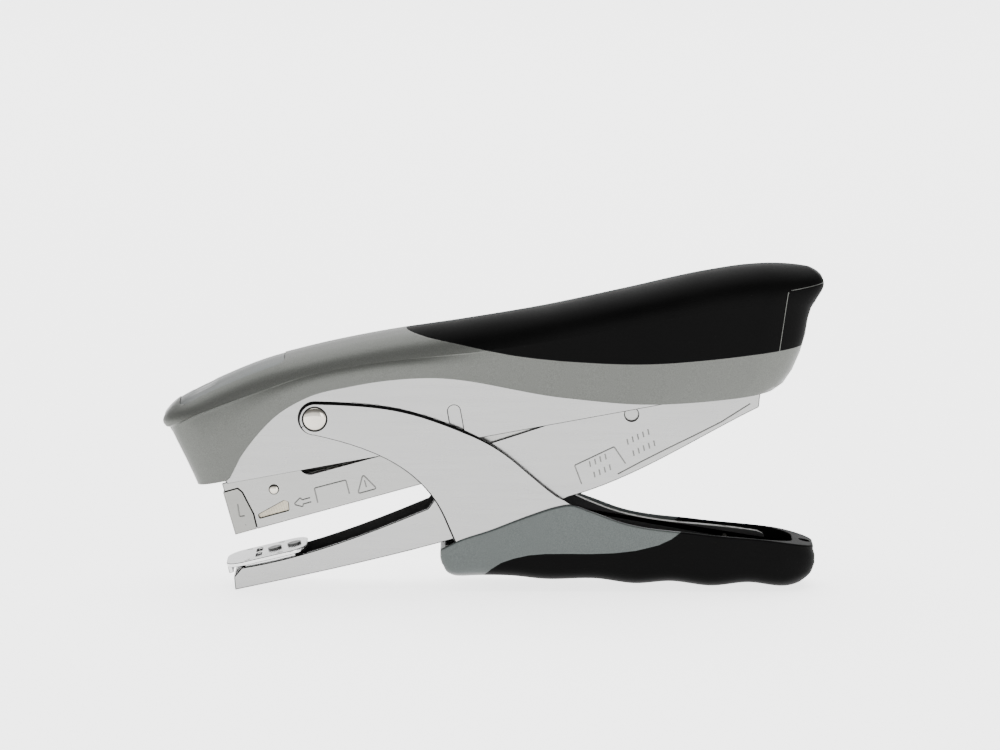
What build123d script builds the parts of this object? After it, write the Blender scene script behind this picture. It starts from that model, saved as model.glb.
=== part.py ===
from build123d import *
import math
import os

# Plier stapler for 24/6 and 26/6 staples: folded steel jaws, crossed levers and soft grips.
#
# Millimetres.  X runs from the nose (-X) to the rear of the grips, Y is the width and Z is up.
# The origin is the bottom centre of the whole tool with its jaws open, standing on the tip of
# the anvil arm and on the lower grip.  The tool is symmetric about Y = 0, so a width is given
# as a distance from that middle plane.
#
# Four groups move: the lower jaw stands still, the lever turns on it at LEVER_PIVOT, and the
# upper handle and the magazine both turn on it at REAR_PIVOT.

# Driving dimensions: where the sheet-metal walls lie, from the inside out
CASE_IN, CASE_OUT = 6.45, 7.0
JAW_IN, JAW_OUT = 7.2, 8.0
FRAME_IN, FRAME_OUT = 8.15, 8.95
LEVER_IN, LEVER_OUT = 9.1, 9.9
COVER_IN = 9.3
COVER_NOSE, COVER_GRIP = 10.8, 12.4
HANDLE_NECK, HANDLE_OUT = 10.5, 10.9

# Driving dimensions: pivots, as points in the XZ plane
LEVER_PIVOT = (-9.0, 41.0)
REAR_PIVOT = (63.0, 58.0)
FRONT_RIVET = (-47.9, 47.4)
SPRING_PIVOT = (-2.0, 25.0)
SPRING_PIN_RADIUS = 1.5
TIE_RIVETS = ((6.0, 11.2), (63.0, 11.2))
TIE_RIVET_RADIUS = 1.3
STUD_RADIUS = 1.4
REAR_PIVOT_RADIUS = 2.0
RIVET_RADIUS = 1.5
RIVET_HEAD_RADIUS = 3.1
EYE_RADIUS = 4.6
RUNNING_FIT = 0.08

# Driving dimensions: the anvil's top, which follows the arm
ANVIL_CORNER = (-72.2, 6.7)
ANVIL_SLOPE = 13.4
ANVIL_LENGTH, ANVIL_WIDTH = 22.4, 17.0
ANVIL_RIVETS = (13.4, 18.8)

# Driving dimensions: how far the groups turn when the handles are squeezed
LEVER_TRAVEL = math.radians(18.2)
UPPER_TRAVEL = math.radians(6.5)

# Driving dimensions: the magazine, in its own frame of length u and height v
MAGAZINE_CORNER = (-69.6, 14.95)
MAGAZINE_SLOPE = 15.5
MAGAZINE_LENGTH = 146.4
MAGAZINE_WALL = 10.5
MAGAZINE_NOSE = 14.6
MAGAZINE_SHEET = 0.6
MAGAZINE_FLOOR = 6.2
MAGAZINE_PIN = (13.5, 9.3)
MAGAZINE_PIN_RADIUS = 1.2
STRIP_START, STRIP_END = 2.95, 51.0
FOLLOWER_LENGTH = 12.0
ROD_HEIGHT = 8.9
ROD_RADIUS = 0.9
BLADE_BACK, BLADE_THICKNESS = 2.5, 0.6
BLADE_TIP, BLADE_TOP = 8.5, 31.0

# Driving dimensions: skins and sheets
COVER_WALL = 2.4
GRIP_SKIN = 1.6
HANDLE_SKIN = 1.5
INLAY_DEPTH = 1.1
WEB = 0.9
TROUGH_FLOOR = 9.0
LANYARD_X, LANYARD_RADIUS = 84.4, 1.6

BEYOND = 200.0

side_plane = Plane.XZ
magazine_plane = Plane(
    origin=(MAGAZINE_CORNER[0], 0, MAGAZINE_CORNER[1]),
    x_dir=(math.cos(math.radians(MAGAZINE_SLOPE)), 0, math.sin(math.radians(MAGAZINE_SLOPE))),
    z_dir=(0, -1, 0),
)


def outline(*runs, plane=side_plane):
    """Closed face.  A run of one point is a straight edge to it, a longer run is a smooth curve
    through its points.  Each run starts where the one before it ends."""
    starts = [runs[-1][-1]] + [run[-1] for run in runs[:-1]]
    edges = []
    for start, run in zip(starts, runs):
        points = [start, *run]
        edges.append(Line(*points) if len(points) == 2 else Spline(*points))
    return plane * make_face(edges)


def polygon(*points, plane=side_plane):
    """Closed face with straight edges."""
    return plane * make_face(Polyline(*points, close=True))


def inset(face, distance, steps=64):
    """Face drawn in by a distance, as a polygon, for the hidden inner faces of a shell."""
    rim = offset(face, -distance).faces()[0].outer_wire()
    return make_face(Polyline(*[rim @ (step / steps) for step in range(steps)], close=True))


def prism(face, half_width):
    """Solid on both sides of the middle plane."""
    return extrude(face, half_width, both=True)


def plate(face, near, far, side):
    """Plate between two distances from the middle plane, on the side +1 or -1."""
    return Pos(0, side * near, 0) * extrude(face, far - near, dir=(0, side, 0))


def plates(face, near, far):
    """The same plate on both sides."""
    return prism(face, far) - prism(face, near)


def disc(center, radius, plane=side_plane):
    """Round face, for pins, eyes and holes."""
    return plane * Pos(*center) * Circle(radius)


def slot(start, end, radius, plane=side_plane):
    """Slot face with round ends."""
    return plane * SlotCenterToCenter(math.dist(start, end), 2 * radius).moved(
        Location(
            ((start[0] + end[0]) / 2, (start[1] + end[1]) / 2, 0),
            (0, 0, math.degrees(math.atan2(end[1] - start[1], end[0] - start[0]))),
        )
    )


def span(start, end):
    """Everything between two stations along X."""
    return Pos((start + end) / 2, 0, 0) * Box(end - start, BEYOND, 2 * BEYOND)


def turned(point, center, angle):
    """Point turned about a center, from +X towards +Z."""
    dx = point[0] - center[0]
    dz = point[1] - center[1]
    return (
        center[0] + dx * math.cos(angle) - dz * math.sin(angle),
        center[1] + dx * math.sin(angle) + dz * math.cos(angle),
    )


# Lower jaw --------------------------------------------------------------------------------

def lower_jaw():
    """Folded channel: the anvil arm in front, crossing the lever, and the rear plates."""
    body = outline(
        [(-44.0, 5.6), (-14.3, 13.0), (0.0, 17.2), (20.3, 25.6)],
        [(37.4, 32.1), (51.7, 39.5), (71.5, 50.2)],
        [(71.9, 54.0)],
        [(71.3, 58.0), (68.8, 63.0), (63.0, 65.4), (53.0, 62.0), (30.0, 51.2), (8.1, 43.3),
         (-1.5, 40.2)],
        [(-5.6, 42.3)],
        [(-9.0, 44.4), (-12.6, 41.0)],
        [(-14.2, 28.0), (-17.5, 22.4)],
        [(-33.8, 15.8), (-56.0, 8.6), (-67.9, 6.1)],
        [(-70.0, 3.6)],
        [(-69.7, 0.0)],
    )
    walls = plates(body, JAW_IN, JAW_OUT)
    skin = prism(body, JAW_IN) - Pos(0, 0, WEB) * prism(body, JAW_IN)
    webs = skin & (span(-71, -14) + span(24, 62))
    holes = [
        disc(LEVER_PIVOT, STUD_RADIUS + RUNNING_FIT),
        disc(REAR_PIVOT, REAR_PIVOT_RADIUS),
        disc(SPRING_PIVOT, SPRING_PIN_RADIUS),
        disc((37.3, 48.2), 1.8),
    ]
    jaw = walls + webs
    for hole in holes:
        jaw -= prism(hole, BEYOND)
    return jaw


def anvil_frame():
    """Plane of the anvil's top, with x along the arm."""
    slope = math.radians(ANVIL_SLOPE)
    return Plane(
        origin=(ANVIL_CORNER[0], 0, ANVIL_CORNER[1]), x_dir=(math.cos(slope), 0, math.sin(slope)),
        z_dir=(-math.sin(slope), 0, math.cos(slope)),
    )


def anvil_plate():
    """Clinching plate with its two grooves, and the tongue folded down at the front."""
    top = anvil_frame()
    blank = Pos(ANVIL_LENGTH / 2, 0) * RectangleRounded(ANVIL_LENGTH, ANVIL_WIDTH, 5.0)
    sheet = extrude(top * blank, -1.1)
    for hand in (1, -1):
        sheet -= extrude(top * (Pos(9.0, 3.1 * hand) * SlotOverall(5.2, 1.6, rotation=90)), -0.5)
        for along in (6.0, 15.0):
            sheet -= extrude(top * (Pos(along, 6.6 * hand) * Rectangle(1.5, 1.3)), -BEYOND)
    tongue = extrude(top * (Pos(0.6, 0) * Rectangle(1.2, 6.4)), -3.2)
    keel = extrude(top * (Pos(12.0, 0) * Rectangle(14.0, 2 * JAW_IN - 0.4)), -2.6)
    keel -= extrude(top * (Pos(12.0, 0) * Rectangle(11.6, 2 * JAW_IN - 2.4)), -BEYOND)
    return sheet + tongue + keel - anvil_rivets()


def anvil_rivets():
    """Two rivets through the anvil plate and the floor of the arm."""
    top = anvil_frame()
    shanks = [extrude(top * (Pos(along, 0) * Circle(1.2)), -5.0) for along in ANVIL_RIVETS]
    heads = [extrude(top * (Pos(along, 0) * Circle(1.9)), 0.5) for along in ANVIL_RIVETS]
    return shanks[0] + heads[0] + shanks[1] + heads[1]


def rear_pivot_rivets():
    """Shoulder rivets in the jaw that carry the upper frame and the magazine."""
    pin = disc(REAR_PIVOT, REAR_PIVOT_RADIUS)
    return plates(pin, CASE_IN - 0.1, FRAME_OUT + 0.1)


def spring_pin():
    """Cross pin between the jaw walls."""
    return prism(disc(SPRING_PIVOT, SPRING_PIN_RADIUS), JAW_OUT)


def return_spring():
    """Torsion spring: the coil on its pin, one leg on the arm, one leg in the handle."""
    coil = prism(disc(SPRING_PIVOT, 3.4), 5.5) - prism(disc(SPRING_PIVOT, 1.9), 5.5)
    front_leg = plate(slot((-4.3, 23.1), (-21.0, 13.4), 0.6), 4.2, 5.4, 1)
    rear_leg = plate(slot((0.0, 22.8), (30.0, 9.9), 0.6), 4.2, 5.4, -1)
    return coil + front_leg + rear_leg


# Upper handle -----------------------------------------------------------------------------

def cover_side():
    """Side view of the cover with its grip."""
    return outline(
        [(-88.0, 44.3)],
        [(-89.3, 47.2), (-87.4, 50.0)],
        [(-72.4, 57.7), (-50.8, 65.1), (-29.2, 69.7), (-7.6, 73.0), (14.0, 76.6), (35.6, 81.2),
         (57.2, 86.2), (73.4, 88.1), (84.2, 87.6)],
        [(89.3, 83.6), (86.6, 78.3)],
        [(84.5, 70.9), (82.2, 62.8), (75.7, 54.5)],
        [(60.2, 52.6), (40.0, 51.7), (19.3, 53.4), (-17.7, 58.6), (-38.0, 56.3), (-50.8, 52.8),
         (-59.4, 47.2), (-67.9, 36.9), (-71.1, 30.5)],
        [(-80.2, 28.6)],
    )


def cover_plan():
    """Top view of the cover with its grip."""
    return outline(
        [(-76.0, COVER_NOSE), (-10.0, COVER_NOSE + 0.5), (30.0, COVER_GRIP - 0.3),
         (60.0, COVER_GRIP), (80.0, COVER_GRIP - 1.8), (86.5, COVER_GRIP - 5.0)],
        [(89.4, 3.0), (89.4, -3.0), (86.5, 5.0 - COVER_GRIP)],
        [(80.0, 1.8 - COVER_GRIP), (60.0, -COVER_GRIP), (30.0, 0.3 - COVER_GRIP),
         (-10.0, -COVER_NOSE - 0.5), (-76.0, -COVER_NOSE), (-84.5, 1.3 - COVER_NOSE)],
        [(-89.4, -5.0), (-89.4, 5.0), (-84.5, COVER_NOSE - 1.3)],
        plane=Plane.XY,
    )


def cover_body(depth=0.0):
    """Solid envelope of the cover with its grip, or the same drawn in by a depth."""
    side = cover_side()
    plan = cover_plan()
    if depth:
        side = inset(side, depth)
        plan = inset(plan, depth)
    return prism(side, 2 * COVER_GRIP) & extrude(plan, BEYOND)


def hollowed(cover):
    """Cover with its hollow, which is open along its lower edge."""
    upper = inset(cover_side(), COVER_WALL)
    lower = polygon(
        (-77.6, 25.0), (-79.0, 33.0), (-66.0, 50.0), (-52.0, 58.5), (-30.0, 63.5),
        (-10.0, 65.0), (30.0, 60.0), (72.5, 60.0), (72.5, 45.0), (-55.0, 25.0),
    )
    return cover - prism(upper, COVER_IN) - prism(lower, COVER_IN)


def grip_zone():
    """Region of the soft grip in side view."""
    return prism(
        outline(
            [(-18.1, 69.4), (-9.9, 67.9), (6.7, 64.7), (23.2, 63.1), (41.3, 62.6),
             (57.8, 63.7), (83.4, 66.7)],
            [(95.0, 68.2)],
            [(95.0, 95.0)],
            [(-24.5, 95.0)],
            [(-24.5, 71.0)],
        ),
        BEYOND,
    )


def rear_panel_zone():
    """Region of the panel behind the seam of the grip."""
    return prism(polygon((79.1, 82.2), (76.0, 60.0), (95.0, 60.0), (95.0, 84.4)), BEYOND)


def inlay_zone():
    """Region of the panel let into the top of the nose."""
    return Pos(-70.0, 0, 50.0) * Box(28.0, 14.4, 60.0)


def top_cover(body, core, inlay):
    """Silver cover, stepped in under the grip and under the nose inlay."""
    return hollowed(body - (grip_zone() - core) - inlay)


def top_inlay(body):
    """Thin panel in the top of the nose."""
    return (body - Pos(0, 0, -INLAY_DEPTH) * body) & inlay_zone()


def top_grip(body, core):
    """Soft skin over the rear of the cover, in front of the seam."""
    return (body & grip_zone()) - core - rear_panel_zone()


def rear_grip_panel(body, core):
    """Soft skin behind the seam."""
    return (body & grip_zone() & rear_panel_zone()) - core


def upper_frame():
    """Folded frame under the cover, with its slots for the lever pivot and the front rivet."""
    body = outline(
        [(48.0, 51.5)],
        [(66.0, 53.8)],
        [(71.0, 60.0), (67.0, 68.4)],
        [(30.0, 67.4), (-18.0, 62.6), (-50.0, 57.0), (-75.0, 46.6)],
        [(-77.6, 42.5)],
        [(-73.6, 32.0)],
        [(-71.6, 29.4)],
    )
    top = prism(body, FRAME_IN) - Pos(0, 0, -WEB) * prism(body, FRAME_IN)
    frame = plates(body, FRAME_IN, FRAME_OUT) + (top & span(-70, 60))
    pivot_end = turned(LEVER_PIVOT, REAR_PIVOT, -UPPER_TRAVEL)
    rivet_end = turned(
        turned(FRONT_RIVET, LEVER_PIVOT, LEVER_TRAVEL), REAR_PIVOT, -UPPER_TRAVEL
    )
    frame -= prism(slot(LEVER_PIVOT, pivot_end, STUD_RADIUS + 0.25), BEYOND)
    frame -= prism(slot(FRONT_RIVET, rivet_end, RIVET_RADIUS + 0.3), BEYOND)
    frame -= prism(disc(REAR_PIVOT, REAR_PIVOT_RADIUS + RUNNING_FIT), BEYOND)
    return frame - hammer_rivets()


def driver_blade():
    """Flat blade that pushes the staple out."""
    front = BLADE_BACK - BLADE_THICKNESS
    blank = polygon(
        (front, BLADE_TIP), (BLADE_BACK, BLADE_TIP), (BLADE_BACK, BLADE_TOP),
        (front, BLADE_TOP), plane=magazine_plane,
    )
    return prism(blank, CASE_IN - 0.25)


def hammer_block():
    """Block behind the blade, between the frame plates."""
    blank = outline(
        [(BLADE_BACK + 9.0, 25.0)],
        [(BLADE_BACK + 9.0, 30.0)],
        [(BLADE_BACK, BLADE_TOP - 1.0)],
        [(BLADE_BACK, 25.0)],
        plane=magazine_plane,
    )
    return prism(blank, FRAME_IN) - hammer_rivets()


def hammer_rivets():
    """Two cross rivets that hold the block in the frame."""
    shanks = [disc((BLADE_BACK + along, 27.4), 1.0, plane=magazine_plane) for along in (3.0, 6.8)]
    return prism(shanks[0], FRAME_OUT + 0.2) + prism(shanks[1], FRAME_OUT + 0.2)


def magazine_spring():
    """Leaf spring from the hammer down to the magazine pin."""
    leaf = outline(
        [(BLADE_BACK + 9.0, 27.5)],
        [(BLADE_BACK + 16.0, 25.0), (BLADE_BACK + 21.0, 18.5), (BLADE_BACK + 19.0, 13.4),
         (BLADE_BACK + 12.0, 10.9), (BLADE_BACK + 8.0, 11.3)],
        [(BLADE_BACK + 8.0, 10.8)],
        [(BLADE_BACK + 12.0, 10.5), (BLADE_BACK + 19.4, 12.9), (BLADE_BACK + 21.6, 18.5),
         (BLADE_BACK + 16.3, 25.5), (BLADE_BACK + 9.0, 28.0)],
        plane=magazine_plane,
    )
    return prism(leaf, 4.0)


# Lever ------------------------------------------------------------------------------------

def lever_side():
    """Side plate: the eye in front, the crossing and the strip inside the handle."""
    blade = outline(
        [(-37.9, 51.6), (-25.1, 50.0), (-12.7, 46.2), (1.2, 39.2), (12.5, 29.9), (20.1, 24.3),
         (26.2, 21.3), (34.3, 18.3), (55.9, 14.9), (72.1, 13.0)],
        [(75.0, 11.0), (72.1, TROUGH_FLOOR)],
        [(-8.0, TROUGH_FLOOR)],
        [(-10.9, 14.8), (-14.9, 23.6), (-23.1, 32.8), (-33.2, 38.4), (-47.9, 42.8)],
        [(-47.9, 52.0)],
    )
    eye = disc(FRONT_RIVET, EYE_RADIUS)
    return blade + eye


def lever_plate(side):
    """One side plate with the hole for the front rivet."""
    return plate(lever_side() - disc(FRONT_RIVET, RIVET_RADIUS), LEVER_IN, LEVER_OUT, side)


def front_rivet():
    """Through rivet with domed heads."""
    rivet = prism(disc(FRONT_RIVET, RIVET_RADIUS), LEVER_OUT)
    height = 1.1
    ball = (RIVET_HEAD_RADIUS ** 2 + height ** 2) / (2 * height)
    for side in (1, -1):
        center = side * (LEVER_OUT + height - ball)
        dome = Pos(FRONT_RIVET[0], center, FRONT_RIVET[1]) * Sphere(ball)
        rivet += dome & plate(disc(FRONT_RIVET, RIVET_HEAD_RADIUS + 1), LEVER_OUT, 2 * LEVER_OUT, side)
    return rivet


def lever_pivot_studs():
    """Studs on the inside of the side plates that turn in the jaw."""
    return plates(disc(LEVER_PIVOT, STUD_RADIUS), JAW_IN, LEVER_IN)


def handle_side():
    """Side view of the handle, with finger waves along its bottom."""
    return outline(
        [(-10.8, 13.4)],
        [(-0.4, 17.0), (10.0, 21.0), (20.3, 24.2)],
        [(26.2, 22.2), (34.3, 19.2), (55.9, 15.9), (80.2, 13.1), (86.4, 11.7)],
        [(87.4, 8.0), (83.2, 1.0)],
        [(80.3, 0.0), (69.0, 1.25), (59.0, 0.25), (48.0, 1.6), (38.3, 1.0), (28.2, 2.2),
         (14.0, 2.2), (4.4, 3.1), (-9.3, 2.9)],
        [(-13.4, 7.2), (-14.3, 11.4)],
    )


def handle_plan():
    """Top view of the handle."""
    return outline(
        [(20.0, HANDLE_OUT), (60.0, HANDLE_OUT), (80.0, HANDLE_NECK)],
        [(87.4, 4.5), (87.4, -4.5), (80.0, -HANDLE_NECK)],
        [(60.0, -HANDLE_OUT), (20.0, -HANDLE_OUT), (-14.4, -HANDLE_NECK)],
        [(-14.4, HANDLE_NECK)],
        plane=Plane.XY,
    )


def handle_body():
    """Solid envelope of the handle."""
    return prism(handle_side(), 2 * HANDLE_OUT) & extrude(handle_plan(), BEYOND)


def handle_core():
    """The handle under its soft skin."""
    return prism(inset(handle_side(), HANDLE_SKIN), LEVER_OUT)


def trough():
    """Hollow of the handle, open at the top, that the jaw plates enter."""
    blank = Pos(33.9, 0, TROUGH_FLOOR + 25) * Box(93.0, 2 * LEVER_IN, 50.0)
    return fillet(blank.edges().filter_by(Axis.Z).sort_by(Axis.X)[-2:], 6.5)


def handle_grip_zone():
    """Region of the soft skin in side view."""
    return prism(
        outline(
            [(-0.4, 6.3), (5.6, 9.2), (14.0, 10.5), (32.6, 10.7), (44.6, 12.8), (50.6, 16.5)],
            [(50.6, 30.0)],
            [(95.0, 30.0)],
            [(95.0, -5.0)],
            [(-3.5, -5.0)],
            [(-3.5, 2.0)],
        ),
        BEYOND,
    )


def lever_pocket():
    """Room in the handle for both side plates."""
    return plates(lever_side(), LEVER_IN, LEVER_OUT)


def handle_shell(body, core):
    """Grey handle trough."""
    return body - (handle_grip_zone() - core) - trough() - lever_pocket()


def handle_grip(body, core):
    """Soft skin of the handle."""
    return (body & handle_grip_zone()) - core - trough() - lever_pocket()


def lanyard_hole():
    """Bore through the tail."""
    return Pos(LANYARD_X, 0, 0) * Cylinder(LANYARD_RADIUS, BEYOND)


def handle_tie_rivets():
    """Cross rivets between the side plates, low in the trough."""
    rivets = []
    for center in TIE_RIVETS:
        rivets.append(prism(disc(center, TIE_RIVET_RADIUS), LEVER_IN))
    return Compound(children=rivets)


# Magazine ---------------------------------------------------------------------------------

def magazine_wall():
    """Side wall of the case, cut back at the nose for the front plate."""
    wall = outline(
        [(MAGAZINE_LENGTH, 0.0)],
        [(MAGAZINE_LENGTH, MAGAZINE_WALL)],
        [(25.2, MAGAZINE_WALL)],
        [(22.6, 11.6), (21.8, MAGAZINE_NOSE)],
        [(0.4, MAGAZINE_NOSE)],
        [(0.4, 12.2)],
        [(4.2, 12.2)],
        [(5.1, 10.8)],
        [(6.4, 4.2)],
        [(MAGAZINE_FLOOR, 0.0)],
        plane=magazine_plane,
    )
    window = polygon(
        (7.7, 2.7), (15.8, 2.7), (16.2, 5.0), (15.4, 5.6), (7.6, 3.7), plane=magazine_plane
    )
    return wall - window


def magazine_case():
    """Folded channel with an open top."""
    floor = polygon(
        (MAGAZINE_FLOOR, 0), (MAGAZINE_LENGTH, 0), (MAGAZINE_LENGTH, MAGAZINE_SHEET),
        (MAGAZINE_FLOOR, MAGAZINE_SHEET), plane=magazine_plane,
    )
    case = plates(magazine_wall(), CASE_IN, CASE_OUT) + prism(floor, CASE_IN)
    case -= prism(disc(REAR_PIVOT, REAR_PIVOT_RADIUS + RUNNING_FIT), BEYOND)
    case -= prism(disc(MAGAZINE_PIN, MAGAZINE_PIN_RADIUS, plane=magazine_plane), BEYOND)
    return case


def magazine_front_plate():
    """Plate that wraps the nose, with a flap on each side."""
    flap = outline(
        [(4.1, 12.1)],
        [(5.0, 10.8)],
        [(6.3, 4.2)],
        [(MAGAZINE_FLOOR - 0.1, 0.0)],
        [(0.0, 0.0)],
        [(0.0, 12.1)],
        plane=magazine_plane,
    )
    front = polygon(
        (0, 0), (MAGAZINE_SHEET, 0), (MAGAZINE_SHEET, 12.1), (0, 12.1), plane=magazine_plane
    )
    return plates(flap, CASE_IN, CASE_OUT - 0.2) + prism(front, CASE_IN)


def magazine_pin():
    """Cross pin through the nose of the case."""
    return prism(disc(MAGAZINE_PIN, MAGAZINE_PIN_RADIUS, plane=magazine_plane), CASE_OUT + 0.7)


def staple_rail():
    """Inner rail that the staples straddle."""
    section = polygon(
        (6.4, MAGAZINE_SHEET), (138.0, MAGAZINE_SHEET), (138.0, 6.2), (3.2, 6.2),
        (3.2, 1.6), plane=magazine_plane,
    )
    hollow = polygon(
        (0, -1), (BEYOND, -1), (BEYOND, 5.6), (0, 5.6), plane=magazine_plane
    )
    return prism(section, 5.5) - prism(hollow, 4.9)


def staple_strip():
    """A strip of staples, one closed body."""
    outer = polygon(
        (STRIP_START, 0.75), (STRIP_END, 0.75), (STRIP_END, 6.95), (STRIP_START, 6.95),
        plane=magazine_plane,
    )
    inner = polygon((0, -1), (BEYOND, -1), (BEYOND, 6.35), (0, 6.35), plane=magazine_plane)
    return prism(outer, 6.3) - prism(inner, 5.75)


def guide_rod():
    """Rod that carries the follower spring."""
    start = magazine_plane.from_local_coords((18.0, ROD_HEIGHT, 0))
    return Plane(origin=start, z_dir=magazine_plane.x_dir) * Cylinder(
        ROD_RADIUS, MAGAZINE_LENGTH - 20.0, align=(Align.CENTER, Align.CENTER, Align.MIN)
    )


def magazine_end_cap():
    """Cap that closes the rear of the case and holds the rod."""
    cap = polygon(
        (MAGAZINE_LENGTH - 2.5, MAGAZINE_SHEET), (MAGAZINE_LENGTH, MAGAZINE_SHEET),
        (MAGAZINE_LENGTH, MAGAZINE_WALL), (MAGAZINE_LENGTH - 2.5, MAGAZINE_WALL),
        plane=magazine_plane,
    )
    return prism(cap, CASE_IN) - guide_rod()


def follower():
    """Pusher that straddles the rail and runs on the rod."""
    block = polygon(
        (STRIP_END + 0.1, 0.85), (STRIP_END + FOLLOWER_LENGTH, 0.85),
        (STRIP_END + FOLLOWER_LENGTH, 7.6), (STRIP_END + 0.1, 7.6), plane=magazine_plane,
    )
    saddle = polygon((0, -1), (BEYOND, -1), (BEYOND, 6.3), (0, 6.3), plane=magazine_plane)
    ear = polygon(
        (STRIP_END + 6.0, 6.5), (STRIP_END + FOLLOWER_LENGTH, 6.5),
        (STRIP_END + FOLLOWER_LENGTH, 10.6), (STRIP_END + 6.0, 10.6), plane=magazine_plane,
    )
    start = magazine_plane.from_local_coords((0, ROD_HEIGHT, 0))
    bore = Plane(origin=start, z_dir=magazine_plane.x_dir) * Cylinder(
        ROD_RADIUS + RUNNING_FIT, BEYOND, align=(Align.CENTER, Align.CENTER, Align.MIN)
    )
    return prism(block, 6.2) - prism(saddle, 5.65) + prism(ear, 1.9) - bore


def follower_spring():
    """Outer shape of the compression spring on the rod."""
    begin = STRIP_END + FOLLOWER_LENGTH + 0.1
    start = magazine_plane.from_local_coords((begin, ROD_HEIGHT, 0))
    length = MAGAZINE_LENGTH - 2.6 - begin
    tube = Cylinder(1.65, length, align=(Align.CENTER, Align.CENTER, Align.MIN))
    tube -= Cylinder(ROD_RADIUS + 0.15, length, align=(Align.CENTER, Align.CENTER, Align.MIN))
    return Plane(origin=start, z_dir=magazine_plane.x_dir) * tube


def all_parts():
    """Every node by name."""
    cover = cover_body()
    cover_core = cover_body(GRIP_SKIN)
    inlay = top_inlay(cover)
    handle = handle_body()
    core = handle_core()
    return {
        "lower_jaw": lower_jaw(),
        "anvil_plate": anvil_plate(),
        "anvil_rivets": anvil_rivets(),
        "rear_pivot_rivets": rear_pivot_rivets(),
        "spring_pin": spring_pin(),
        "return_spring": return_spring(),
        "upper_frame": upper_frame(),
        "top_cover": top_cover(cover, cover_core, inlay),
        "top_inlay": inlay,
        "top_grip": top_grip(cover, cover_core),
        "rear_grip_panel": rear_grip_panel(cover, cover_core),
        "driver_blade": driver_blade(),
        "hammer_block": hammer_block(),
        "hammer_rivets": hammer_rivets(),
        "magazine_spring": magazine_spring(),
        "lever_plate_left": lever_plate(-1),
        "lever_plate_right": lever_plate(1),
        "front_rivet": front_rivet(),
        "lever_pivot_studs": lever_pivot_studs(),
        "handle_shell": handle_shell(handle, core) - lanyard_hole(),
        "handle_grip": handle_grip(handle, core) - lanyard_hole(),
        "handle_tie_rivets": handle_tie_rivets(),
        "magazine_case": magazine_case(),
        "magazine_front_plate": magazine_front_plate(),
        "magazine_pin": magazine_pin(),
        "staple_rail": staple_rail(),
        "staple_strip": staple_strip(),
        "guide_rod": guide_rod(),
        "magazine_end_cap": magazine_end_cap(),
        "follower": follower(),
        "follower_spring": follower_spring(),
    }


os.makedirs("parts", exist_ok=True)
for name, shape in all_parts().items():
    export_step(shape, f"parts/{name}.step")
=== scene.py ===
"""Plier stapler: the looks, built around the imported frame.

Every size is in millimetres in the tool's own frame: X from the nose (-X) to the rear of the
grips, Y across and Z up.  A mesh is built in millimetres and brought to metres when it is
placed.  Each sub-assembly is a class: its fields are its sizes and its methods build its pieces.
"""

import logging
import math
from collections.abc import Callable, Sequence
from dataclasses import dataclass, field
from enum import Enum

import bmesh
import bpy
from mathutils import Matrix, Vector


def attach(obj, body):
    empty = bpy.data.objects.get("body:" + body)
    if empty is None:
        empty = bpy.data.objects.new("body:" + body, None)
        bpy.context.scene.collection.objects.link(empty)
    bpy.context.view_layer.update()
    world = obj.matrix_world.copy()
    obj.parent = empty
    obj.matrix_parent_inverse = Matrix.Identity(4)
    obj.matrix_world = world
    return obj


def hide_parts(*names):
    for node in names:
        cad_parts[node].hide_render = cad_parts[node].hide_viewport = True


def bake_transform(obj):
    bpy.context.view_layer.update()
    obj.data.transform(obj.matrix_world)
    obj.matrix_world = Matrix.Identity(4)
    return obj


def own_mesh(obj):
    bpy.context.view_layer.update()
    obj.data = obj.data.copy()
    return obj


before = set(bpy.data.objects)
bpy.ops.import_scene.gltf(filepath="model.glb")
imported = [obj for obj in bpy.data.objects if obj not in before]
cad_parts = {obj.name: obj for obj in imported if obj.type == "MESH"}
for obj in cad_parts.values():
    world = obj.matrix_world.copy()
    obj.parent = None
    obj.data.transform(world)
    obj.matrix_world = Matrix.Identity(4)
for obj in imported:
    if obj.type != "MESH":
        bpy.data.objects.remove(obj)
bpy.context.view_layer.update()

LOG = logging.getLogger("stapler")
MM = 0.001
WEIGHTS = "bevel_weight_edge"
QUARTER = math.pi / 2
MAGAZINE_CORNER = (-69.6, 14.95)
MAGAZINE_SLOPE = 15.5

Point = tuple[float, float]
Colour = tuple[float, float, float]


class Body(Enum):
    """The moving groups of the tool."""

    JAW = "jaw"
    UPPER = "upper"
    LEVER = "lever"
    MAGAZINE = "magazine"
    FOLLOWER = "follower"


class Side(Enum):
    """A side of the tool, as the sign of Y."""

    NEAR = -1
    FAR = 1


# Curves and meshes -------------------------------------------------------------------------


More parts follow.
